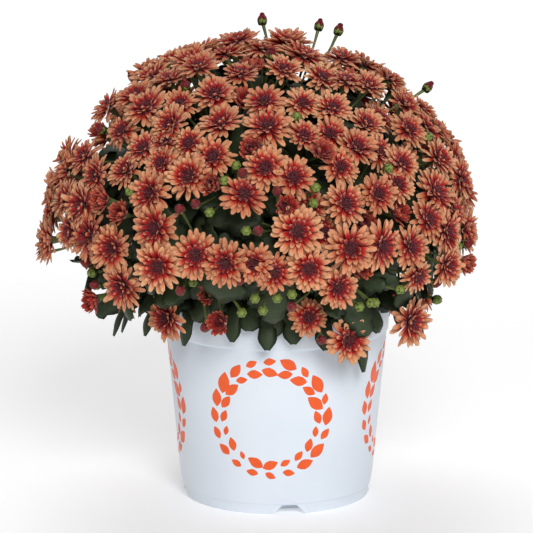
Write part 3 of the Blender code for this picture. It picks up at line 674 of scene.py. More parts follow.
def spreadOut(directions, fixed, closest, rounds=12):
    for _ in range(rounds):
        for i, one in enumerate(directions):
            for other in directions[i + 1:]:
                apart = other - one
                push = apart.normalized() * max(0, closest - apart.length) / 2
                one -= push
                other += push
            for other in fixed:
                apart = other - one
                one -= apart.normalized() * max(0, closest - apart.length)
        for one in directions:
            one.z = max(one.z, domePlan["edgeSine"])
            one.normalize()
    return directions


def onDome(direction, share=1.0):
    sine = direction.z
    across = math.sqrt(1 - sine * sine)
    if sine < 0:
        across = 1 - domePlan["tuck"] * sine * sine
    flat = Vector((direction.x, direction.y, 0)).normalized() * across
    radii = domePlan["radii"]
    return domePlan["centre"] + Vector((flat.x * radii.x, flat.y * radii.y, sine * radii.z)) * share


def domeFacing(direction):
    facing = Vector(direction[k] / domePlan["radii"][k] for k in range(3))
    if facing.z < 0:
        facing.z *= domePlan["lowFacing"]
    return facing.normalized()


def directionOf(point):
    offset = point - domePlan["centre"]
    return Vector(offset[k] / domePlan["radii"][k] for k in range(3)).normalized()


def directionAt(azimuth, height):
    sine = (height - domePlan["centre"].z) / domePlan["radii"].z
    across = math.sqrt(1 - sine * sine)
    return Vector((across * math.sin(azimuth), -across * math.cos(azimuth), sine))


def nearest(direction, directions):
    return max(range(len(directions)), key=lambda k: direction.dot(directions[k]))


def scatteredVector(rng, size):
    return Vector(rng.uniform(-size, size) for _ in range(3))


def inLeafyZone(direction, zones=domePlan["leafyZones"]):
    azimuth = math.degrees(math.atan2(direction.x, -direction.y))
    return any(a < azimuth < b and low < direction.z < high for a, b, low, high in zones)


def clearOf(fixed, directions):
    return [d for d in directions if min((d - f).length for f in fixed) > domePlan["frontClosest"]]


def bloomAt(heart, facing, length, spray):
    kind = "young" if length < domePlan["youngLength"] else "open"
    return {"heart": heart, "facing": facing, "length": length, "spray": spray, "kind": kind}


def placeBlooms(forks):
    rng = random.Random(domePlan["seed"])
    front = [directionAt(math.radians(azimuth), height * mm) for azimuth, height, _ in frontBlooms]
    fixed = front + outlying()
    even = spiral(domePlan["blooms"], domePlan["edgeSine"])
    rest = [d + scatteredVector(rng, domePlan["scatter"]) for d in even]
    rest = spreadOut(clearOf(fixed, rest), fixed, domePlan["closest"])
    rest = clearOf(fixed, rest)
    lengths = [length * mm for _, _, length in frontBlooms]
    for _ in rest:
        young = rng.random() < domePlan["youngShare"]
        lengths.append(rng.uniform(*domePlan["youngLengths" if young else "openLengths"]))
    blooms = []
    for k, (d, length) in enumerate(zip(front + rest, lengths)):
        sink = rng.uniform(-domePlan["depthScatter"], 0)
        facing = (domeFacing(d) + scatteredVector(rng, domePlan["leanScatter"])).normalized()
        if k >= len(front) and inLeafyZone(d):
            continue
        blooms.append(bloomAt(onDome(d) + domeFacing(d) * sink, facing, length, nearest(d, forks)))
    for azimuth, distance, height, length in skirtBlooms:
        heart = at(math.radians(azimuth), distance * mm, height * mm)
        outward = at(math.radians(azimuth), 1, domePlan["skirtLift"])
        facing = (outward + scatteredVector(rng, domePlan["leanScatter"])).normalized()
        blooms.append(bloomAt(heart, facing, length * mm, nearest(directionOf(heart), forks)))
    for bloom in blooms:
        bloom["fork"] = onDome(forks[bloom["spray"]], domePlan["forkShare"])
    return blooms


def placeSecondLayer(blooms, forks):
    plan = domePlan["secondLayer"]
    rng = random.Random(plan["seed"])
    taken = [directionOf(bloom["heart"]) for bloom in blooms]
    hidden = []
    for direction in spiral(plan["count"], plan["edge"]):
        facing = (domeFacing(direction) + scatteredVector(rng, plan["lean"])).normalized()
        length = rng.uniform(*plan["lengths"])
        crowded = min((direction - other).length for other in taken) < plan["gap"]
        if crowded or inLeafyZone(direction) or inLeafyZone(direction, plan["leafyZones"]):
            continue
        taken.append(direction)
        bloom = bloomAt(onDome(direction, plan["share"]), facing, length, nearest(direction, forks))
        bloom["fork"] = onDome(forks[bloom["spray"]], domePlan["forkShare"])
        hidden.append(bloom)
    return hidden


def outlying():
    return [directionAt(math.radians(azimuth), height * mm) for azimuth, height, _ in outlyingBuds]


def budAt(heart, facing, spray, forks, red=False):
    fork = onDome(forks[spray], domePlan["forkShare"])
    return {"heart": heart, "facing": facing, "length": domePlan["budRadius"], "spray": spray, "fork": fork,
            "kind": "bud", "red": red}


def placeBuds(blooms, forks):
    buds = []
    for direction, (_, _, share) in zip(outlying(), outlyingBuds):
        heart, facing = onDome(direction, share), domeFacing(direction)
        buds.append(budAt(heart, facing, nearest(direction, forks), forks, red=True))
    taken = {bud["spray"] for bud in buds}
    for k in range(len(forks)):
        own = [b for b in blooms if b["spray"] == k]
        fork = onDome(forks[k], domePlan["forkShare"])
        gaps = []
        for trio in itertools.combinations(own, 3):
            middle = sum((b["heart"] for b in trio), Vector()) / 3
            facing = sum((b["facing"] for b in trio), Vector()).normalized()
            heart = middle + facing * domePlan["budRise"]
            room = min((heart - fork).angle(other["heart"] - fork) for other in own)
            gaps.append((room, heart, facing))
        room, heart, facing = max(gaps, key=lambda gap: gap[0], default=(0, None, None))
        if room > domePlan["budClearAngle"] and k not in taken:
            buds.append(budAt(heart, facing, k, forks, red=k % 5 == 0))
    for azimuth, distance, height, red in frontBuds:
        heart = at(math.radians(azimuth), distance * mm, height * mm)
        facing = (domeFacing(directionOf(heart)) + Vector((0, -0.35, 0.35))).normalized()
        buds.append(budAt(heart, facing, nearest(directionOf(heart), forks), forks, red=bool(red)))
    return buds


# Blooms: rings of petals, a disc of florets and a green cup on a bent stalk

bloomPlan = {
    # For each ring: petals, reach and tilt, and where its roots stand (out, up), as shares of the
    # petal's length
    "rings": ((18, 1.00, 0.04, 0.13, -0.05), (16, 0.90, 0.22, 0.13, 0.01), (13, 0.73, 0.38, 0.13, 0.05),
              (11, 0.50, 0.56, 0.14, 0.07)),
    "youngTilt": 0.50,
    "halfWidth": 0.108,
    "reachScatter": 0.12,
    "turnScatter": 0.26,
    "tiltScatter": 0.15,
    "yawScatter": 0.10,
    "cupRange": (-0.14, 0.16),
    "nearby": 6 * mm,
    "overlap": 9 * mm,  # how far past its own share of the space a petal may reach
    "leastReach": 0.55,
    "discRadius": 3.9 * mm,
    "florets": 16,
    "floretSize": 1.25 * mm,
    "shapes": (
        ("flat", "reflexed", "risen"),
        ("flat", "risen", "quilled", "reflexed"),
        ("quilled", "small", "risen"),
        ("small", "smallIncurved"),
    ),
    "youngShapes": ("incurved", "risen"),
    "neckDepth": 8 * mm,
    "stalkRadius": 0.95 * mm,
    "cupRadius": 3.4 * mm,
    "seed": 5,
}
petalShapes = {
    "flat": 0, "risen": 1, "reflexed": 2, "quilled": 3, "incurved": 4, "floret": 5, "small": 6,
    "smallIncurved": 7,
}


def makePetalShapes():
    shapes = shapeCollection("petalShapes")
    for name, plan, curl, trough in (
            ("petal0Flat", petalPlan, 0.02, 0.02), ("petal1Risen", petalPlan, 0.17, 0.04),
            ("petal2Reflexed", petalPlan, -0.20, 0.0), ("petal3Quilled", petalPlan, 0.06, 0.11),
            ("petal4Incurved", petalPlan, 0.48, 0.05), ("petal6Small", smallPetalPlan, 0.16, 0.03),
            ("petal7SmallIncurved", smallPetalPlan, 0.42, 0.05)):
        bladeShape(name, plan, curl, trough, shapes)
    floretShape("petal5Floret", shapes)
    return shapes


def frameAlong(direction):
    across = direction.orthogonal().normalized()
    return across, direction.cross(across)


def roomTowards(bloom, way, others):
    # How far a petal may reach before it passes its share of the space between this bloom and a neighbour
    room = 1.0
    for other in others:
        apart = other["heart"] - bloom["heart"]
        towards = way.dot(apart.normalized())
        if towards > 0.3:
            share = bloom["length"] / (bloom["length"] + other["length"])
            room = min(room, (apart.length * share / towards + bloomPlan["overlap"]) / bloom["length"])
    return max(bloomPlan["leastReach"], room)


def addBloomPetals(sprig, bloom, others, rng):
    heart, facing, length = bloom["heart"], bloom["facing"], bloom["length"]
    across, along = frameAlong(facing)
    young = bloom["kind"] == "young"
    tint, age = rng.random(), rng.uniform(0.75, 1) if young else rng.uniform(0, 0.22)
    cup = rng.uniform(*bloomPlan["cupRange"]) + bloomPlan["youngTilt"] * young
    near = [
        o for o in others
        if o is not bloom and (o["heart"] - heart).length < length + o["length"] + bloomPlan["nearby"]]
    for ringNumber, (count, reach, tilt, out, up) in enumerate(bloomPlan["rings"]):
        if young and ringNumber == 3:
            continue
        first = rng.uniform(0, 2 * math.pi)
        for k in range(count):
            turn = first + 2 * math.pi * (k + rng.uniform(-1, 1) * bloomPlan["turnScatter"]) / count
            outward = across * math.cos(turn) + along * math.sin(turn)
            slope = tilt + cup + rng.uniform(-1, 1) * bloomPlan["tiltScatter"]
            yaw = turn + rng.uniform(-1, 1) * bloomPlan["yawScatter"]
            ahead = across * math.cos(yaw) + along * math.sin(yaw)
            way = ahead * math.cos(slope) + facing * math.sin(slope)
            upper = facing * math.cos(slope) - ahead * math.sin(slope)
            share = reach * (1 + rng.uniform(-1, 1) * bloomPlan["reachScatter"])
            share = min(share, roomTowards(bloom, outward, near))
            root = heart + (outward * out + facing * up) * length
            size = length * (share - out * math.cos(slope))
            names = bloomPlan["youngShapes"] if young else bloomPlan["shapes"][ringNumber]
            half = length * bloomPlan["halfWidth"] * (0.85 if ringNumber > 1 else 1) * (1.15 if young else 1)
            sprig.addBlade(root, petalShapes[rng.choice(names)], way, upper, (size, half, size),
                           tint=tint, age=age, layer=ringNumber / 3)
    radius = bloomPlan["discRadius"] * (0.6 if young else 1)
    for k in range(bloomPlan["florets"]):
        share = math.sqrt((k + 0.5) / bloomPlan["florets"])
        turn = k * goldenAngle
        outward = (across * math.cos(turn) + along * math.sin(turn)) * share
        root = heart + outward * radius + facing * (1.1 * mm + 1.4 * mm * (1 - share * share))
        size = bloomPlan["floretSize"]
        sprig.addBlade(root, petalShapes["floret"], (facing + outward * 0.6).normalized(), across,
                       (size * 1.6, size, size), tint=tint, layer=2.0)


def addBloomStalk(sprig, item, neckDepth, rng):
    # A stalk that leaves the fork straight and bends into the bloom's own facing, then swells into its cup
    heart, facing, fork = item["heart"], item["facing"], item["fork"]
    neck = heart - facing * neckDepth
    sway = scatteredVector(rng, 0.04) * (neck - fork).length
    middle = fork.lerp(neck, 0.55) - facing * 1.5 * mm + sway
    radius = bloomPlan["stalkRadius"]
    cup = bloomPlan["cupRadius"] if item["kind"] != "bud" else 1.6 * mm
    points = (fork, fork.lerp(middle, 0.5), middle, neck, neck.lerp(heart, 0.45), neck.lerp(heart, 0.9))
    radii = (radius * 1.1, radius, radius, radius * 1.15, cup * 0.75, cup)
    sprig.addStalk(points, radii, tint=rng.random() * stemPlan["stalkTint"])


budPlan = {
    "core": 3.9 * mm,
    # Height and radius up the core, as shares of its size
    "profile": ((-1.0, 0.34), (-0.72, 0.74), (-0.2, 1.0), (0.35, 0.94), (0.78, 0.62), (1.0, 0.12)),
    "bracts": 8,
    "splay": (0.42, 0.30),
    "bractSize": (1.7, 0.42, 1.1),
    "bractTint": (0.1, 0.6),
    "petals": 10,
    "petalSize": (1.3, 0.46, 1.4),
    "petalLean": 0.10,
}


def addBudGreens(sprig, bud, rng):
    heart, facing = bud["heart"], bud["facing"]
    across, along = frameAlong(facing)
    core = budPlan["core"]
    profile = budPlan["profile"]
    sprig.addStalk([heart + facing * core * h for h, _ in profile], [core * r for _, r in profile], tint=1.0)
    size = [core * share for share in budPlan["bractSize"]]
    count = budPlan["bracts"]
    for k in range(2 * count):
        turn, level = 2 * math.pi * (k + 0.5 * (k // count)) / count, k // count
        outward = across * math.cos(turn) + along * math.sin(turn)
        root = heart + (outward * (0.62 + 0.10 * level) - facing * (0.90 - 0.12 * level)) * core
        splay = budPlan["splay"][level]
        way = (outward * splay + facing).normalized()
        facingOut = (outward - facing * splay).normalized()
        sprig.addBlade(root, 0, way, -facingOut, size, tint=rng.uniform(*budPlan["bractTint"]))


def addBudPetals(sprig, bud, rng):
    # The closed petals at the top of a bud that is about to open
    heart, facing = bud["heart"], bud["facing"]
    across, along = frameAlong(facing)
    core, lean = budPlan["core"], budPlan["petalLean"]
    size = [core * share for share in budPlan["petalSize"]]
    for k in range(2 * budPlan["petals"]):
        turn, level = goldenAngle * k, k // budPlan["petals"]
        outward = across * math.cos(turn) + along * math.sin(turn)
        root = heart + (outward * (1.0 - 0.35 * level) + facing * (0.1 + 0.4 * level)) * core
        way, inward = (facing - outward * lean).normalized(), (-outward - facing * lean).normalized()
        sprig.addBlade(
            root, petalShapes["incurved"], way, inward, size, tint=rng.random(), age=1.0, layer=1.4)


# Leaves and stems

stemPlan = {
    "stems": 6,
    "points": ((24, 112.3), (25, 150), (33, 176), (37, 212), (30, 246)),
    "radii": (3.3 * mm, 3.1 * mm, 2.9 * mm, 2.6 * mm, 2.1 * mm),
    "branchRadius": 1.9 * mm,
    "risingWay": 30 * mm,
    "stalkTint": 0.3,
    "leafStalk": (1.0 * mm, 0.9 * mm, 0.8 * mm, 0.6 * mm),
    "leafWidths": (0.85, 1.1),
    "skirtStalk": (1.3 * mm, 1.2 * mm, 1.1 * mm, 0.8 * mm),
    "sprayLeaves": 5,
    # Round each fork: scatter of their turn, share of the way out, rise, length and stalk in mm
    "sprayTurn": 0.4,
    "sprayLevels": (0.02, 0.20),
    "sprayRises": (0.25, 0.95),
    "sprayLengths": (30, 44),
    "sprayStalks": (8, 16),
    "innerLeaves": 4,
    "innerLengths": (32, 46),
    "shadeLeaves": 250,
    "shadeLengths": (34, 46),
    "shadeRises": (0.15, 0.55),
    "shadeHang": (-0.2, -0.9),  # elsewhere, and in a leafy zone
    "shadeLean": 0.35,
    "shadeEdge": -0.40,
    # How far out their roots stand, how far in a leafy zone, and how far where that is low
    "shadeShares": (0.76, 0.80, 0.66),
    "lowSine": -0.14,
    "seed": 8,
}
# Leaves that hang over the rim: azimuth in degrees, the tip's distance and height and the width in mm
skirtLeaves = (
    (-72, 131, 131, 27), (-58, 118, 136, 24), (-43, 103, 131, 22), (-19, 103, 139, 22), (-4, 104, 134, 26),
    (7, 101, 138, 28), (21, 102, 132, 28), (41, 100, 110, 22), (72, 118, 130, 26), (106, 112, 128, 28),
    (140, 104, 122, 26), (176, 112, 126, 28), (213, 106, 120, 26), (249, 116, 128, 28), (283, 122, 131, 26),
)
rimCrossing = ((66 * mm, 168 * mm), (97 * mm, 178 * mm))
# The row above them, likewise: it hides the rim
upperLeaves = (
    (-62, 112, 152, 30), (-50, 106, 147, 30), (-31, 101, 150, 32), (-12, 100, 148, 34), (-1, 99, 144, 30),
    (14, 99, 146, 32), (30, 101, 146, 34), (48, 103, 140, 32), (62, 108, 140, 30), (84, 110, 142, 32),
    (98, 108, 140, 30), (122, 106, 142, 32), (150, 104, 140, 32), (165, 106, 144, 30), (194, 106, 142, 32),
    (226, 106, 140, 32), (238, 108, 144, 30), (262, 112, 144, 32), (274, 112, 142, 30), (294, 114, 150, 30),
)


def stemAzimuth(k):
    return 2 * math.pi * k / stemPlan["stems"]


def stemNodes(k):
    return [at(stemAzimuth(k), distance * mm, height * mm) for distance, height in stemPlan["points"]]


def stemOf(point):
    azimuth = math.atan2(point.x, -point.y)
    return round(azimuth / (2 * math.pi / stemPlan["stems"])) % stemPlan["stems"]


def makeLeafShapes():
    # Bracts, and leaves of unit length for the places that the blooms half hide
    shapes = shapeCollection("leafShapes")
    bladeShape("leaf0Bract", bractPlan, 0.60, 0.0, shapes)
    x, y = Vector((1, 0, 0)), Vector((0, 1, 0))
    width = leafPlan["width"] / leafPlan["length"]
    for k, drop in enumerate((0.10, -0.10, -0.28)):
        spine = (Vector(), x * 0.5 + Vector((0, 0, abs(drop))), x + Vector((0, 0, drop)))
        leaf = leafShape(f"leaf{k + 1}Lobed", [p * leafPlan["length"] for p in spine], y,
                         width * leafPlan["length"], 10, shapes)
        leaf.data.transform(Matrix.Scale(1 / leafPlan["length"], 4))
    return shapes


def addLeaf(sprig, foot, root, way, facing, length, rng):
    points = (foot, foot.lerp(root, 0.5), root, root + way * length * 0.06)
    sprig.addStalk(points, stemPlan["leafStalk"], tint=rng.random() * stemPlan["stalkTint"])
    shape = rng.choice((1, 2, 3))
    size = (length, length * rng.uniform(*stemPlan["leafWidths"]), length)
    sprig.addBlade(root, shape, way, facing, size, tint=rng.random())


def addSprayLeaves(sprig, direction, rng):
    # Leaves in the shade just under the blooms, round the spray's fork
    out = domeFacing(direction)
    across, along = frameAlong(out)
    fork = onDome(direction, domePlan["forkShare"])
    for k in range(stemPlan["sprayLeaves"]):
        turn = k * goldenAngle + rng.uniform(-stemPlan["sprayTurn"], stemPlan["sprayTurn"])
        sideways = across * math.cos(turn) + along * math.sin(turn)
        level = rng.uniform(*stemPlan["sprayLevels"])
        foot = fork.lerp(onDome(direction), level * 0.5)
        way = (sideways + out * rng.uniform(*stemPlan["sprayRises"])).normalized()
        facing = (out - way * out.dot(way)).normalized()
        length = rng.uniform(*stemPlan["sprayLengths"]) * mm
        root = foot + way * rng.uniform(*stemPlan["sprayStalks"]) * mm
        addLeaf(sprig, foot, root, way, facing, length, rng)


def addShadeLeaves(sprig, direction, forks, rng):
    # This spray's share of an even shell of leaves that closes the view between the blooms
    fork = onDome(direction, domePlan["forkShare"])
    for place in spiral(stemPlan["shadeLeaves"], stemPlan["shadeEdge"]):
        if forks[nearest(place, forks)] != direction:
            continue
        leafy = inLeafyZone(place) or inLeafyZone(place, domePlan["secondLayer"]["leafyZones"])
        out = domeFacing(place)
        across, along = frameAlong(out)
        turn = rng.uniform(0, 2 * math.pi)
        sideways = across * math.cos(turn) + along * math.sin(turn)
        hang = Vector((0, 0, stemPlan["shadeHang"][leafy]))
        way = (sideways + hang + out * rng.uniform(*stemPlan["shadeRises"])).normalized()
        facing = out + scatteredVector(rng, stemPlan["shadeLean"])
        facing = (facing - way * facing.dot(way)).normalized()
        length = rng.uniform(*stemPlan["shadeLengths"]) * mm
        low = leafy and place.z < stemPlan["lowSine"]
        share = stemPlan["shadeShares"][leafy + low] + rng.uniform(-0.03, 0.03)
        root = onDome(place, share) - way * length * 0.35
        addLeaf(sprig, fork, root, way, facing, length, rng)


def addInnerLeaves(sprig, start, end, rng):
    way = (end - start).normalized()
    across, along = frameAlong(way)
    for k in range(stemPlan["innerLeaves"]):
        turn = k * goldenAngle + rng.uniform(0, 1)
        sideways = across * math.cos(turn) + along * math.sin(turn)
        foot = start.lerp(end, 0.3 + 0.2 * k)
        pointing = (sideways + way * 0.7).normalized()
        root = foot + pointing * 7 * mm
        facing = (way - pointing * way.dot(pointing)).normalized()
        addLeaf(sprig, foot, root, pointing, facing, rng.uniform(*stemPlan["innerLengths"]) * mm, rng)


def addSkirtLeaf(sprig, azimuth, distance, height, width, stem, into, name):
    start = at(azimuth, *rimCrossing[0])
    bend = at(azimuth, max(rimCrossing[1][0], distance - 6 * mm), rimCrossing[1][1])
    tip = at(azimuth, distance, height)
    side = Vector((math.cos(azimuth), math.sin(azimuth), 0))
    leafShape(name, (start, bend, tip), side, width, leafPlan["rows"], into)
    root = stemNodes(stem)[2]
    sprig.addStalk((root, root.lerp(start, 0.5), start, start.lerp(bend, 0.15)), stemPlan["skirtStalk"])


def wayAlong(node, foot):
    # A branch that would have to come down again counts as longer
    return (node - foot).length + (stemPlan["risingWay"] if node.z > foot.z else 0)


def buildStem(k, forks, tree, leafShapes, finishes, rng):
    name = f"leafyStem{k + 1}"
    sprig = Sprig()
    nodes = stemNodes(k)
    sprig.addStalk(nodes, stemPlan["radii"])
    for direction in forks:
        foot = onDome(direction, domePlan["stalkShare"])
        if stemOf(foot) != k:
            continue
        start = min(nodes[2:], key=lambda node: wayAlong(node, foot))
        radius = stemPlan["branchRadius"]
        sprig.addStalk((start, start.lerp(foot, 0.5), foot), (radius * 1.15, radius, radius))
        addInnerLeaves(sprig, start, foot, rng)
    bent = shapeCollection(name + "Blades")
    for number, (degrees, distance, height, width) in enumerate(skirtLeaves + upperLeaves):
        turn = math.radians(degrees)
        if stemOf(at(turn, 1, 0)) == k:
            addSkirtLeaf(sprig, turn, distance * mm, height * mm, width * mm, k, bent, f"{name}Rim{number}")
    piece = growPiece(name, sprig, tree, {
        "Shapes": leafShapes, "Bent blades": bent, "Roll spread": 0.25, "Seed": k + 1,
        "Stalk rings": 8, "Stalk sides": 7,
        "Blade finish": finishes["leaf"], "Stalk finish": finishes["stalk"]})
    dropCollection(bent)
    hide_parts(f"leafy_stem_{k + 1}")
    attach(piece, "root")


def buildSpray(k, forks, own, others, tree, shapes, finishes, rng):
    direction = forks[k]
    petals, greens = Sprig(), Sprig()
    fork, foot = onDome(direction, domePlan["forkShare"]), onDome(direction, domePlan["stalkShare"])
    greens.addStalk((foot, foot.lerp(fork, 0.5), fork), (1.9 * mm, 1.9 * mm, 2.2 * mm))
    for item in own:
        if item["kind"] == "bud":
            addBloomStalk(greens, item, domePlan["budRadius"], rng)
            addBudGreens(greens, item, rng)
            if item["red"]:
                addBudPetals(petals, item, rng)
        else:
            addBloomStalk(greens, item, bloomPlan["neckDepth"] * item["length"] / (20 * mm), rng)
            addBloomPetals(petals, item, others, rng)
    addSprayLeaves(greens, direction, rng)
    addShadeLeaves(greens, direction, forks, rng)
    node = f"bloom_spray_{k + 1:02d}"
    flower = growPiece(f"blooms{k + 1:02d}", petals, tree, {
        "Shapes": shapes["petals"], "Roll spread": 0.16, "Width spread": 0.12, "Seed": 100 + k,
        "Blade finish": finishes["petal"]})
    green = growPiece(f"sprayGreens{k + 1:02d}", greens, tree, {
        "Shapes": shapes["leaves"], "Seed": 200 + k, "Stalk sides": 6,
        "Blade finish": finishes["leaf"], "Stalk finish": finishes["stalk"]})
    for piece, slot in ((flower, "petals"), (green, "foliage")):
        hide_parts(node)
        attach(piece, "root")


# Pot and soil

potPlan = {
    "steps": 144,
    "wall": 1.6 * mm,
    "channels": 4,
    "firstChannel": math.radians(7.7),
    "channelHeight": 7.5 * mm,
    "channelWidths": (26 * mm, 10.5 * mm),
    "channelInner": 54 * mm,
    "drainRadius": 3 * mm,
    "colour": (226, 233, 241),
    "colourDark": (210, 220, 232),
}
# Radius and height down the pot's outside, with the lip, the ledge and the foot rounded
potOutside = (
    (85.2, 149.8), (85.2, 152.3), (85.5, 152.85), (86.1, 153.0), (87.0, 152.9), (87.5, 152.4), (87.6, 151.6),
    (86.8, 132.6), (86.7, 131.8), (86.4, 131.4), (85.2, 131.3), (84.9, 130.8), (84.9, 130.0), (85.3, 129.2),
    (75.1, 18.0), (74.7, 16.0), (73.6, 9.4), (73.3, 8.6), (72.6, 8.1), (72.2, 7.6), (71.9, 1.0), (71.6, 0.3),
    (71.0, 0.0),
)
potInside = (
    (0, 2.0), (69.6, 2.0), (70.4, 3.0), (71.6, 9.6), (73.3, 18.6), (83.4, 130.4), (84.5, 131.6),
    (85.1, 148.0),
)
wallEnds = (13, 14)  # the outside's points at the top and the foot of the plain wall


def turnedMesh(name, profile, steps):
    # A closed profile of (radius, height) in mm turned about Z
    bm = bmesh.new()
    rings = []
    for radius, height in profile:
        if radius == 0:
            rings.append([bm.verts.new((0, 0, height * mm))])
            continue
        turns = [2 * math.pi * k / steps for k in range(steps)]
        rings.append([bm.verts.new(at(turn, radius * mm, height * mm)) for turn in turns])
    for one, two in zip(rings, rings[1:]):
        for k in range(steps):
            after = (k + 1) % steps
            quad = (one[k % len(one)], one[after % len(one)], two[after % len(two)], two[k % len(two)])
            corners = dict.fromkeys(quad)
            if len(corners) > 2:
                bm.faces.new(corners)
    bmesh.ops.recalc_face_normals(bm, faces=bm.faces)
    mesh = bpy.data.meshes.new(name)
    bm.to_mesh(mesh)
    bm.free()
    return mesh


def channelBar(azimuth, grow, bottom, inner, outer, into):
    low, high = potPlan["channelWidths"]
    narrowing = (high - low) / potPlan["channelHeight"]
    bm = bmesh.new()
    bmesh.ops.create_cube(bm, size=1)
    for vert in bm.verts:
        height = potPlan["channelHeight"] + grow if vert.co.z > 0 else bottom
        width = low + narrowing * height + 4 * grow
        vert.co = (vert.co.x * width, -(inner + (outer - inner) * (0.5 - vert.co.y)), height)
    bmesh.ops.rotate(bm, verts=bm.verts, matrix=Matrix.Rotation(azimuth, 3, "Z"))
    return finishShape("channelBar", bm, into)


def drainBar(place, into):
    bm = bmesh.new()
    bmesh.ops.create_cone(bm, cap_ends=True, segments=24, radius1=potPlan["drainRadius"],
                          radius2=potPlan["drainRadius"], depth=8 * mm)
    bmesh.ops.translate(bm, verts=bm.verts, vec=place)
    return finishShape("drainBar", bm, into)


def buildPot(finish):
    profile = potInside + potOutside + ((0, 0),)
    pot = bpy.data.objects.new("mouldedPot", turnedMesh("mouldedPot", profile, potPlan["steps"]))
    bpy.context.scene.collection.objects.link(pot)
    covers, cuts = shapeCollection("channelCovers"), shapeCollection("channelCuts")
    inner, wall = potPlan["channelInner"], potPlan["wall"]
    for k in range(potPlan["channels"]):
        azimuth = potPlan["firstChannel"] + 2 * math.pi * k / potPlan["channels"]
        channelBar(azimuth, wall, 1 * mm, inner - wall, 71 * mm, covers)
        channelBar(azimuth, 0, -2 * mm, inner, 90 * mm, cuts)
        drainBar(at(azimuth, inner + 6 * mm, 8 * mm), cuts)
    for operation, group in (("UNION", covers), ("DIFFERENCE", cuts)):
        modifier = pot.modifiers.new(operation, "BOOLEAN")
        modifier.operation, modifier.operand_type, modifier.collection = operation, "COLLECTION", group
    depsgraph = bpy.context.evaluated_depsgraph_get()
    mesh = bpy.data.meshes.new_from_object(pot.evaluated_get(depsgraph))
    pot.modifiers.clear()
    pot.data = mesh
    mesh.materials.clear()
    mesh.materials.append(finish)
    mesh.shade_smooth()
    mesh.set_sharp_from_angle(angle=math.radians(38))
    dropCollection(covers)
    dropCollection(cuts)
    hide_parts("pot")
    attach(pot, "root")
    return pot


def makePotFinish(mottle):
    # White moulded plastic with a faint orange peel, and scuffs in its roughness all over
    finish, tree, shader = newFinish("potFinish", 0.36)
    group = mottled(tree, mottle, potPlan["colour"], potPlan["colourDark"], 12)
    place = addNode(tree, "ShaderNodeTexCoord").outputs["Object"]
    scuffs = addNode(tree, "ShaderNodeTexNoise", {"Vector": place, "Scale": 340.0, "Detail": 6.0})
    peel = addNode(tree, "ShaderNodeTexNoise", {"Vector": place, "Scale": 900.0, "Detail": 2.0})
    rough = addNode(tree, "ShaderNodeMapRange", {
        "Value": scuffs.outputs[0], 1: 0.3, 2: 0.7, 3: 0.30, 4: 0.44})
    tree.links.new(group["Colour"], shader["Base Color"])
    tree.links.new(rough.outputs[0], shader["Roughness"])
    tree.links.new(bump(tree, peel.outputs[0], 0.12, 0.0003), shader["Normal"])
    return finish


# Printed wreaths: pointed leaves set round a ring, then wrapped round the pot's wall

wreathPlan = {
    "azimuths": (-3.6, 89.0, 177.0, 265.0),
    "height": 77 * mm,
    "leaves": 20,
    "ringRadii": (45.2 * mm, 36.8 * mm),
    "leafLength": 12.8 * mm,
    "leafWidth": 7.8 * mm,
    "spread": 0.38,
    "shake": 0.22,
    "relief": 0.12 * mm,
    "sunk": -0.05 * mm,  # how deep the edge of the print lies in the wall
    "seed": 4,
    "ink": (240, 92, 18),
    "inkDark": (224, 76, 14),
    "inkRim": (196, 62, 20),
}


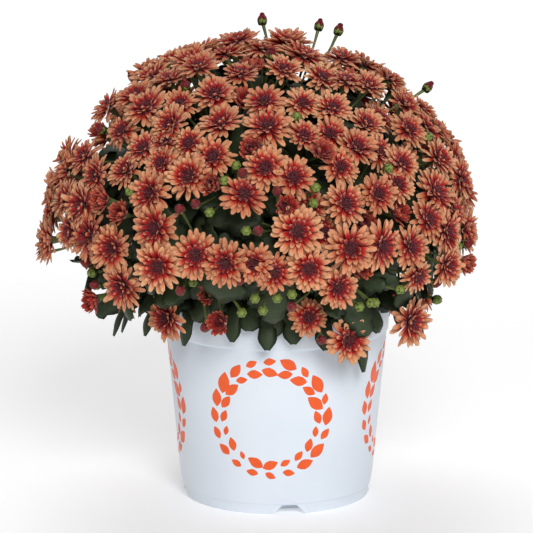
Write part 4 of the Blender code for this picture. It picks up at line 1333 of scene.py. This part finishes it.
def makeWreathTree():
    # Each ring is a circle of points; every point carries a pointed leaf turned along the ring
    tree, given, result = newTree("wreath", "GeometryNodeTree", [
        ("Mesh", "NodeSocketGeometry", None),
        ("Leaf", "NodeSocketObject", None),
        ("Leaves", "NodeSocketInt", 20),
        ("Outer radius", "NodeSocketFloat", 0.04),
        ("Inner radius", "NodeSocketFloat", 0.03),
        ("Spread", "NodeSocketFloat", 0.3),
        ("Shake", "NodeSocketFloat", 0.2),
        ("Seed", "NodeSocketInt", 1),
        ("Azimuth", "NodeSocketFloat", 0.0),
        ("Height", "NodeSocketFloat", 0.07),
        ("Wall radius", "NodeSocketFloat", 0.08),
        ("Wall slope", "NodeSocketFloat", 0.1),
        ("Finish", "NodeSocketMaterial", None),
    ], [("Mesh", "NodeSocketGeometry")])
    rings = addNode(tree, "GeometryNodeJoinGeometry")
    leaf = addNode(tree, "GeometryNodeObjectInfo", {"Object": given["Leaf"]})
    for label, seedStep, lean, shrink in (("Outer radius", 0, 0.30, 1.0), ("Inner radius", 1, -0.35, 0.86)):
        circle = addNode(tree, "GeometryNodeMeshCircle", {
            "Vertices": given["Leaves"], "Radius": given[label]})
        place = position(tree)
        polar = maths(tree, "ARCTAN2", place["Y"], place["X"])
        # On both sides the leaves point up the ring, from its foot to its top
        rightSide = maths(tree, "SIGN", place["X"])
        tangent = maths(tree, "ADD", polar, maths(tree, "MULTIPLY", rightSide, math.pi / 2 - lean))
        seed = maths(tree, "ADD", given["Seed"], float(seedStep))
        shake = randomBetween(tree, maths(tree, "MULTIPLY", given["Shake"], -1.0), given["Shake"], seed)
        turn = addNode(tree, "ShaderNodeCombineXYZ", {"Z": maths(tree, "ADD", tangent, shake)})
        low = maths(tree, "SUBTRACT", shrink, given["Spread"])
        high = maths(tree, "ADD", shrink, given["Spread"])
        size = randomBetween(tree, low, high, seed)
        scale = addNode(tree, "ShaderNodeCombineXYZ", {"X": size, "Y": size, "Z": 1.0})
        placed = addNode(tree, "GeometryNodeInstanceOnPoints", {
            "Points": circle.outputs[0], "Instance": leaf.outputs["Geometry"],
            "Rotation": turn.outputs[0], "Scale": scale.outputs[0]})
        tree.links.new(placed.outputs[0], rings.inputs[0])
    flat = addNode(tree, "GeometryNodeRealizeInstances", {0: rings.outputs[0]})
    point = position(tree)
    wall = maths(tree, "ADD", given["Wall radius"], maths(tree, "MULTIPLY", point["Y"], given["Wall slope"]))
    azimuth = maths(tree, "ADD", given["Azimuth"], maths(tree, "DIVIDE", point["X"], wall))
    radius = maths(tree, "ADD", wall, point["Z"])
    sideways = maths(tree, "MULTIPLY", radius, maths(tree, "SINE", azimuth))
    outward = maths(tree, "MULTIPLY", radius, maths(tree, "COSINE", azimuth))
    wrapped = addNode(tree, "ShaderNodeCombineXYZ", {
        "X": sideways,
        "Y": maths(tree, "MULTIPLY", outward, -1.0),
        "Z": maths(tree, "ADD", point["Y"], given["Height"]),
    })
    onWall = addNode(tree, "GeometryNodeSetPosition", {
        "Geometry": flat.outputs[0], "Position": wrapped.outputs[0]})
    inked = addNode(tree, "GeometryNodeSetMaterial", {
        "Geometry": onWall.outputs[0], "Material": given["Finish"]})
    tree.links.new(inked.outputs[0], result["Mesh"])
    return tree


def printedLeaf(plan):
    # A closed pointed oval with its middle at the origin
    bm = bmesh.new()
    edge = bm.verts.layers.float.new("across")
    section = ((-1, "sunk"), (-0.72, "relief"), (0, "relief"), (0.72, "relief"), (1, "sunk"))
    rings = []
    for k in range(9):
        t = k / 8
        half = 0.5 * math.sin(math.pi * t) ** 0.8 * (1.15 - 0.3 * t)
        row = []
        for s, level in section:
            out = s * max(half, 0.012) * plan["leafWidth"]
            vert = bm.verts.new(((t - 0.5) * plan["leafLength"], out, plan[level]))
            vert[edge] = max(abs(s), abs(2 * t - 1) ** 3)
            row.append(vert)
        rings.append(row)
    joinRings(bm, rings)
    bm.faces.new(rings[0])
    bm.faces.new(rings[-1])
    scratch = shapeCollection("printedLeafShape")
    return finishShape("printedLeaf", bm, scratch), scratch


def buildWreaths(plan, finish):
    tree = makeWreathTree()
    leaf, scratch = printedLeaf(plan)
    top, low = (potOutside[k] for k in wallEnds)
    slope = (top[0] - low[0]) / (top[1] - low[1])
    wallRadius = low[0] * mm + (plan["height"] - low[1] * mm) * slope
    for k, degrees in enumerate(plan["azimuths"]):
        piece = evaluatePiece(f"printedWreath{k + 1}", bpy.data.meshes.new("wreath"), tree, {
            "Leaf": leaf, "Leaves": plan["leaves"], "Outer radius": plan["ringRadii"][0],
            "Inner radius": plan["ringRadii"][1], "Spread": plan["spread"], "Shake": plan["shake"],
            "Seed": plan["seed"],
            "Azimuth": math.radians(degrees), "Height": plan["height"], "Wall radius": wallRadius,
            "Wall slope": slope, "Finish": finish})
        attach(piece, "root")
    dropCollection(scratch)


def makeInkFinish(mottle):
    finish, tree, shader = newFinish("inkFinish", 0.42)
    group = mottled(tree, mottle, wreathPlan["ink"], wreathPlan["inkDark"], 140)
    rim = maths(tree, "GREATER_THAN", bladeAttribute(tree, "across"), 0.86)
    colour = mix(tree, maths(tree, "MULTIPLY", rim, 0.6), group["Colour"], wreathPlan["inkRim"])
    tree.links.new(colour, shader["Base Color"])
    return finish


soilPlan = {
    "grains": 900,
    "size": (0.8 * mm, 3.2 * mm),
    "whiteShare": 0.05,
    "radius": 83.6 * mm,
    "height": 137 * mm,
    "crown": 2 * mm,
    "seed": 21,
    "colour": (74, 54, 40),
    "colourDark": (30, 22, 17),
    "grit": (206, 196, 178),
}


def makeSoilFinish(mottle):
    finish, tree, shader = newFinish("soilFinish", 0.95)
    group = mottled(tree, mottle, soilPlan["colour"], soilPlan["colourDark"], 260, 0.9)
    place = addNode(tree, "ShaderNodeTexCoord").outputs["Object"]
    crumbs = addNode(tree, "ShaderNodeTexVoronoi", {"Vector": place, "Scale": 420.0})
    colour = mix(tree, bladeAttribute(tree, "tint"), group["Colour"], soilPlan["grit"])
    tree.links.new(colour, shader["Base Color"])
    tree.links.new(bump(tree, crumbs.outputs[0], 0.9, 0.0012), shader["Normal"])
    return finish


def grainShape(name, into):
    bm = bmesh.new()
    bmesh.ops.create_icosphere(bm, subdivisions=1, radius=1)
    rng = random.Random(3)
    for vert in bm.verts:
        vert.co *= rng.uniform(0.7, 1.15)
    return finishShape(name, bm, into)


def buildSoil(tree, finish):
    # The CAD solid keeps its place and gets its finish; a layer of crumbs and white grit lies on it
    frame["nodes"]["soil"].data.materials.clear()
    frame["nodes"]["soil"].data.materials.append(finish)
    rng = random.Random(soilPlan["seed"])
    shapes = shapeCollection("grainShapes")
    grainShape("grain", shapes)
    grains = Sprig()
    for k in range(soilPlan["grains"]):
        share = math.sqrt((k + 0.5) / soilPlan["grains"])
        distance = share * soilPlan["radius"]
        height = soilPlan["height"] + soilPlan["crown"] * (1 - share) + 0.2 * mm
        size = rng.uniform(*soilPlan["size"])
        way = scatteredVector(rng, 1).normalized()
        white = rng.random() < soilPlan["whiteShare"]
        place = at(k * goldenAngle, distance, height)
        sizes = (size, size * 0.8, size * 0.7)
        grains.addBlade(place, 0, way, way.orthogonal(), sizes, tint=1.0 if white else 0.0)
    piece = growPiece("soilCrumbs", grains, tree, {
        "Shapes": shapes, "Seed": soilPlan["seed"], "Blade finish": finish})
    dropCollection(shapes)
    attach(piece, "root")


# Studio

studioPlan = {
    "floor": 24.0,
    "floorColours": ((250, 250, 250), (246, 246, 247)),
    "world": 0.24,
    "viewTransform": "Standard",
    # Where each light stands, its side in metres and its power in watts
    "lights": (((0.55, -3.2, 2.0), 1.5, 82), ((2.6, -1.6, 1.5), 1.6, 3), ((-0.3, 1.6, 3.0), 2.4, 42)),
    # How much the floor glows by the pot and far away, and at what distances that is
    "floorGlow": (0.28, 0.80),
    "glowReach": (0.6, 4.0),
}


def buildStudio(plan):
    mesh = bpy.data.meshes.new("floor")
    half = plan["floor"] / 2
    corners = [(-half, -half, 0), (half, -half, 0), (half, half, 0), (-half, half, 0)]
    mesh.from_pydata(corners, [], [(0, 1, 2, 3)])
    finish, tree, shader = newFinish("floorFinish", 0.8)
    place = addNode(tree, "ShaderNodeTexCoord").outputs["Object"]
    grain = addNode(tree, "ShaderNodeTexNoise", {"Vector": place, "Scale": 3.0})
    colour = mix(tree, grain.outputs[0], *plan["floorColours"])
    # It glows more further away, so that it ends as white as it begins
    away = addNode(tree, "ShaderNodeVectorMath", {0: place}, operation="LENGTH").outputs["Value"]
    near, far = plan["glowReach"]
    dim, bright = plan["floorGlow"]
    glow = addNode(tree, "ShaderNodeMapRange", {
        "Value": away, 1: near, 2: far, 3: dim, 4: bright}).outputs[0]
    tree.links.new(colour, shader["Base Color"])
    tree.links.new(colour, shader["Emission Color"])
    tree.links.new(glow, shader["Emission Strength"])
    mesh.materials.append(finish)
    floor = bpy.data.objects.new("floor", mesh)
    bpy.context.scene.collection.objects.link(floor)
    for number, (place, side, power) in enumerate(plan["lights"]):
        data = bpy.data.lights.new(f"softLight{number + 1}", "AREA")
        data.energy, data.size, data.shape = power, side, "DISK"
        light = bpy.data.objects.new(f"softLight{number + 1}", data)
        bpy.context.scene.collection.objects.link(light)
        light.location = place
        light.rotation_euler = (Vector(place) - cameraPlan["lookAt"]).to_track_quat("Z", "Y").to_euler()
    world = bpy.data.worlds.new("studioWorld")
    world.use_nodes = True
    world.node_tree.nodes["Background"].inputs["Color"].default_value = (1, 1, 1, 1)
    world.node_tree.nodes["Background"].inputs["Strength"].default_value = plan["world"]
    bpy.context.scene.world = world
    bpy.context.scene.view_settings.view_transform = plan["viewTransform"]


# Everything, in order

makeCamera(cameraPlan)
buildStudio(studioPlan)
print("camera, floor and lights are up")

mottle = makeMottleGroup()
finishes = {
    "petal": makePetalFinish(petalLook, mottle),
    "leaf": makeLeafFinish(leafLook, mottle),
    "stalk": makeStalkFinish(leafLook, mottle),
}
sprigTree = makeSprigTree()
buildPot(makePotFinish(mottle))
buildWreaths(wreathPlan, makeInkFinish(mottle))
buildSoil(sprigTree, makeSoilFinish(mottle))
print("pot, print and soil are made")

forks = spiral(domePlan["sprays"], domePlan["sprayEdgeSine"])
blooms = placeBlooms(forks)
buds = placeBuds(blooms, forks)
blooms += placeSecondLayer(blooms, forks)
shapes = {"petals": makePetalShapes(), "leaves": makeLeafShapes()}
stemRng = random.Random(stemPlan["seed"])
for k in range(stemPlan["stems"]):
    buildStem(k, forks, sprigTree, shapes["leaves"], finishes, stemRng)
print("leafy stems are made")

bloomRng = random.Random(bloomPlan["seed"])
for k in range(len(forks)):
    own = [item for item in blooms + buds if item["spray"] == k]
    buildSpray(k, forks, own, blooms, sprigTree, shapes, finishes, bloomRng)
for group in shapes.values():
    dropCollection(group)
print(f"{len(blooms)} blooms and {len(buds)} buds are made")
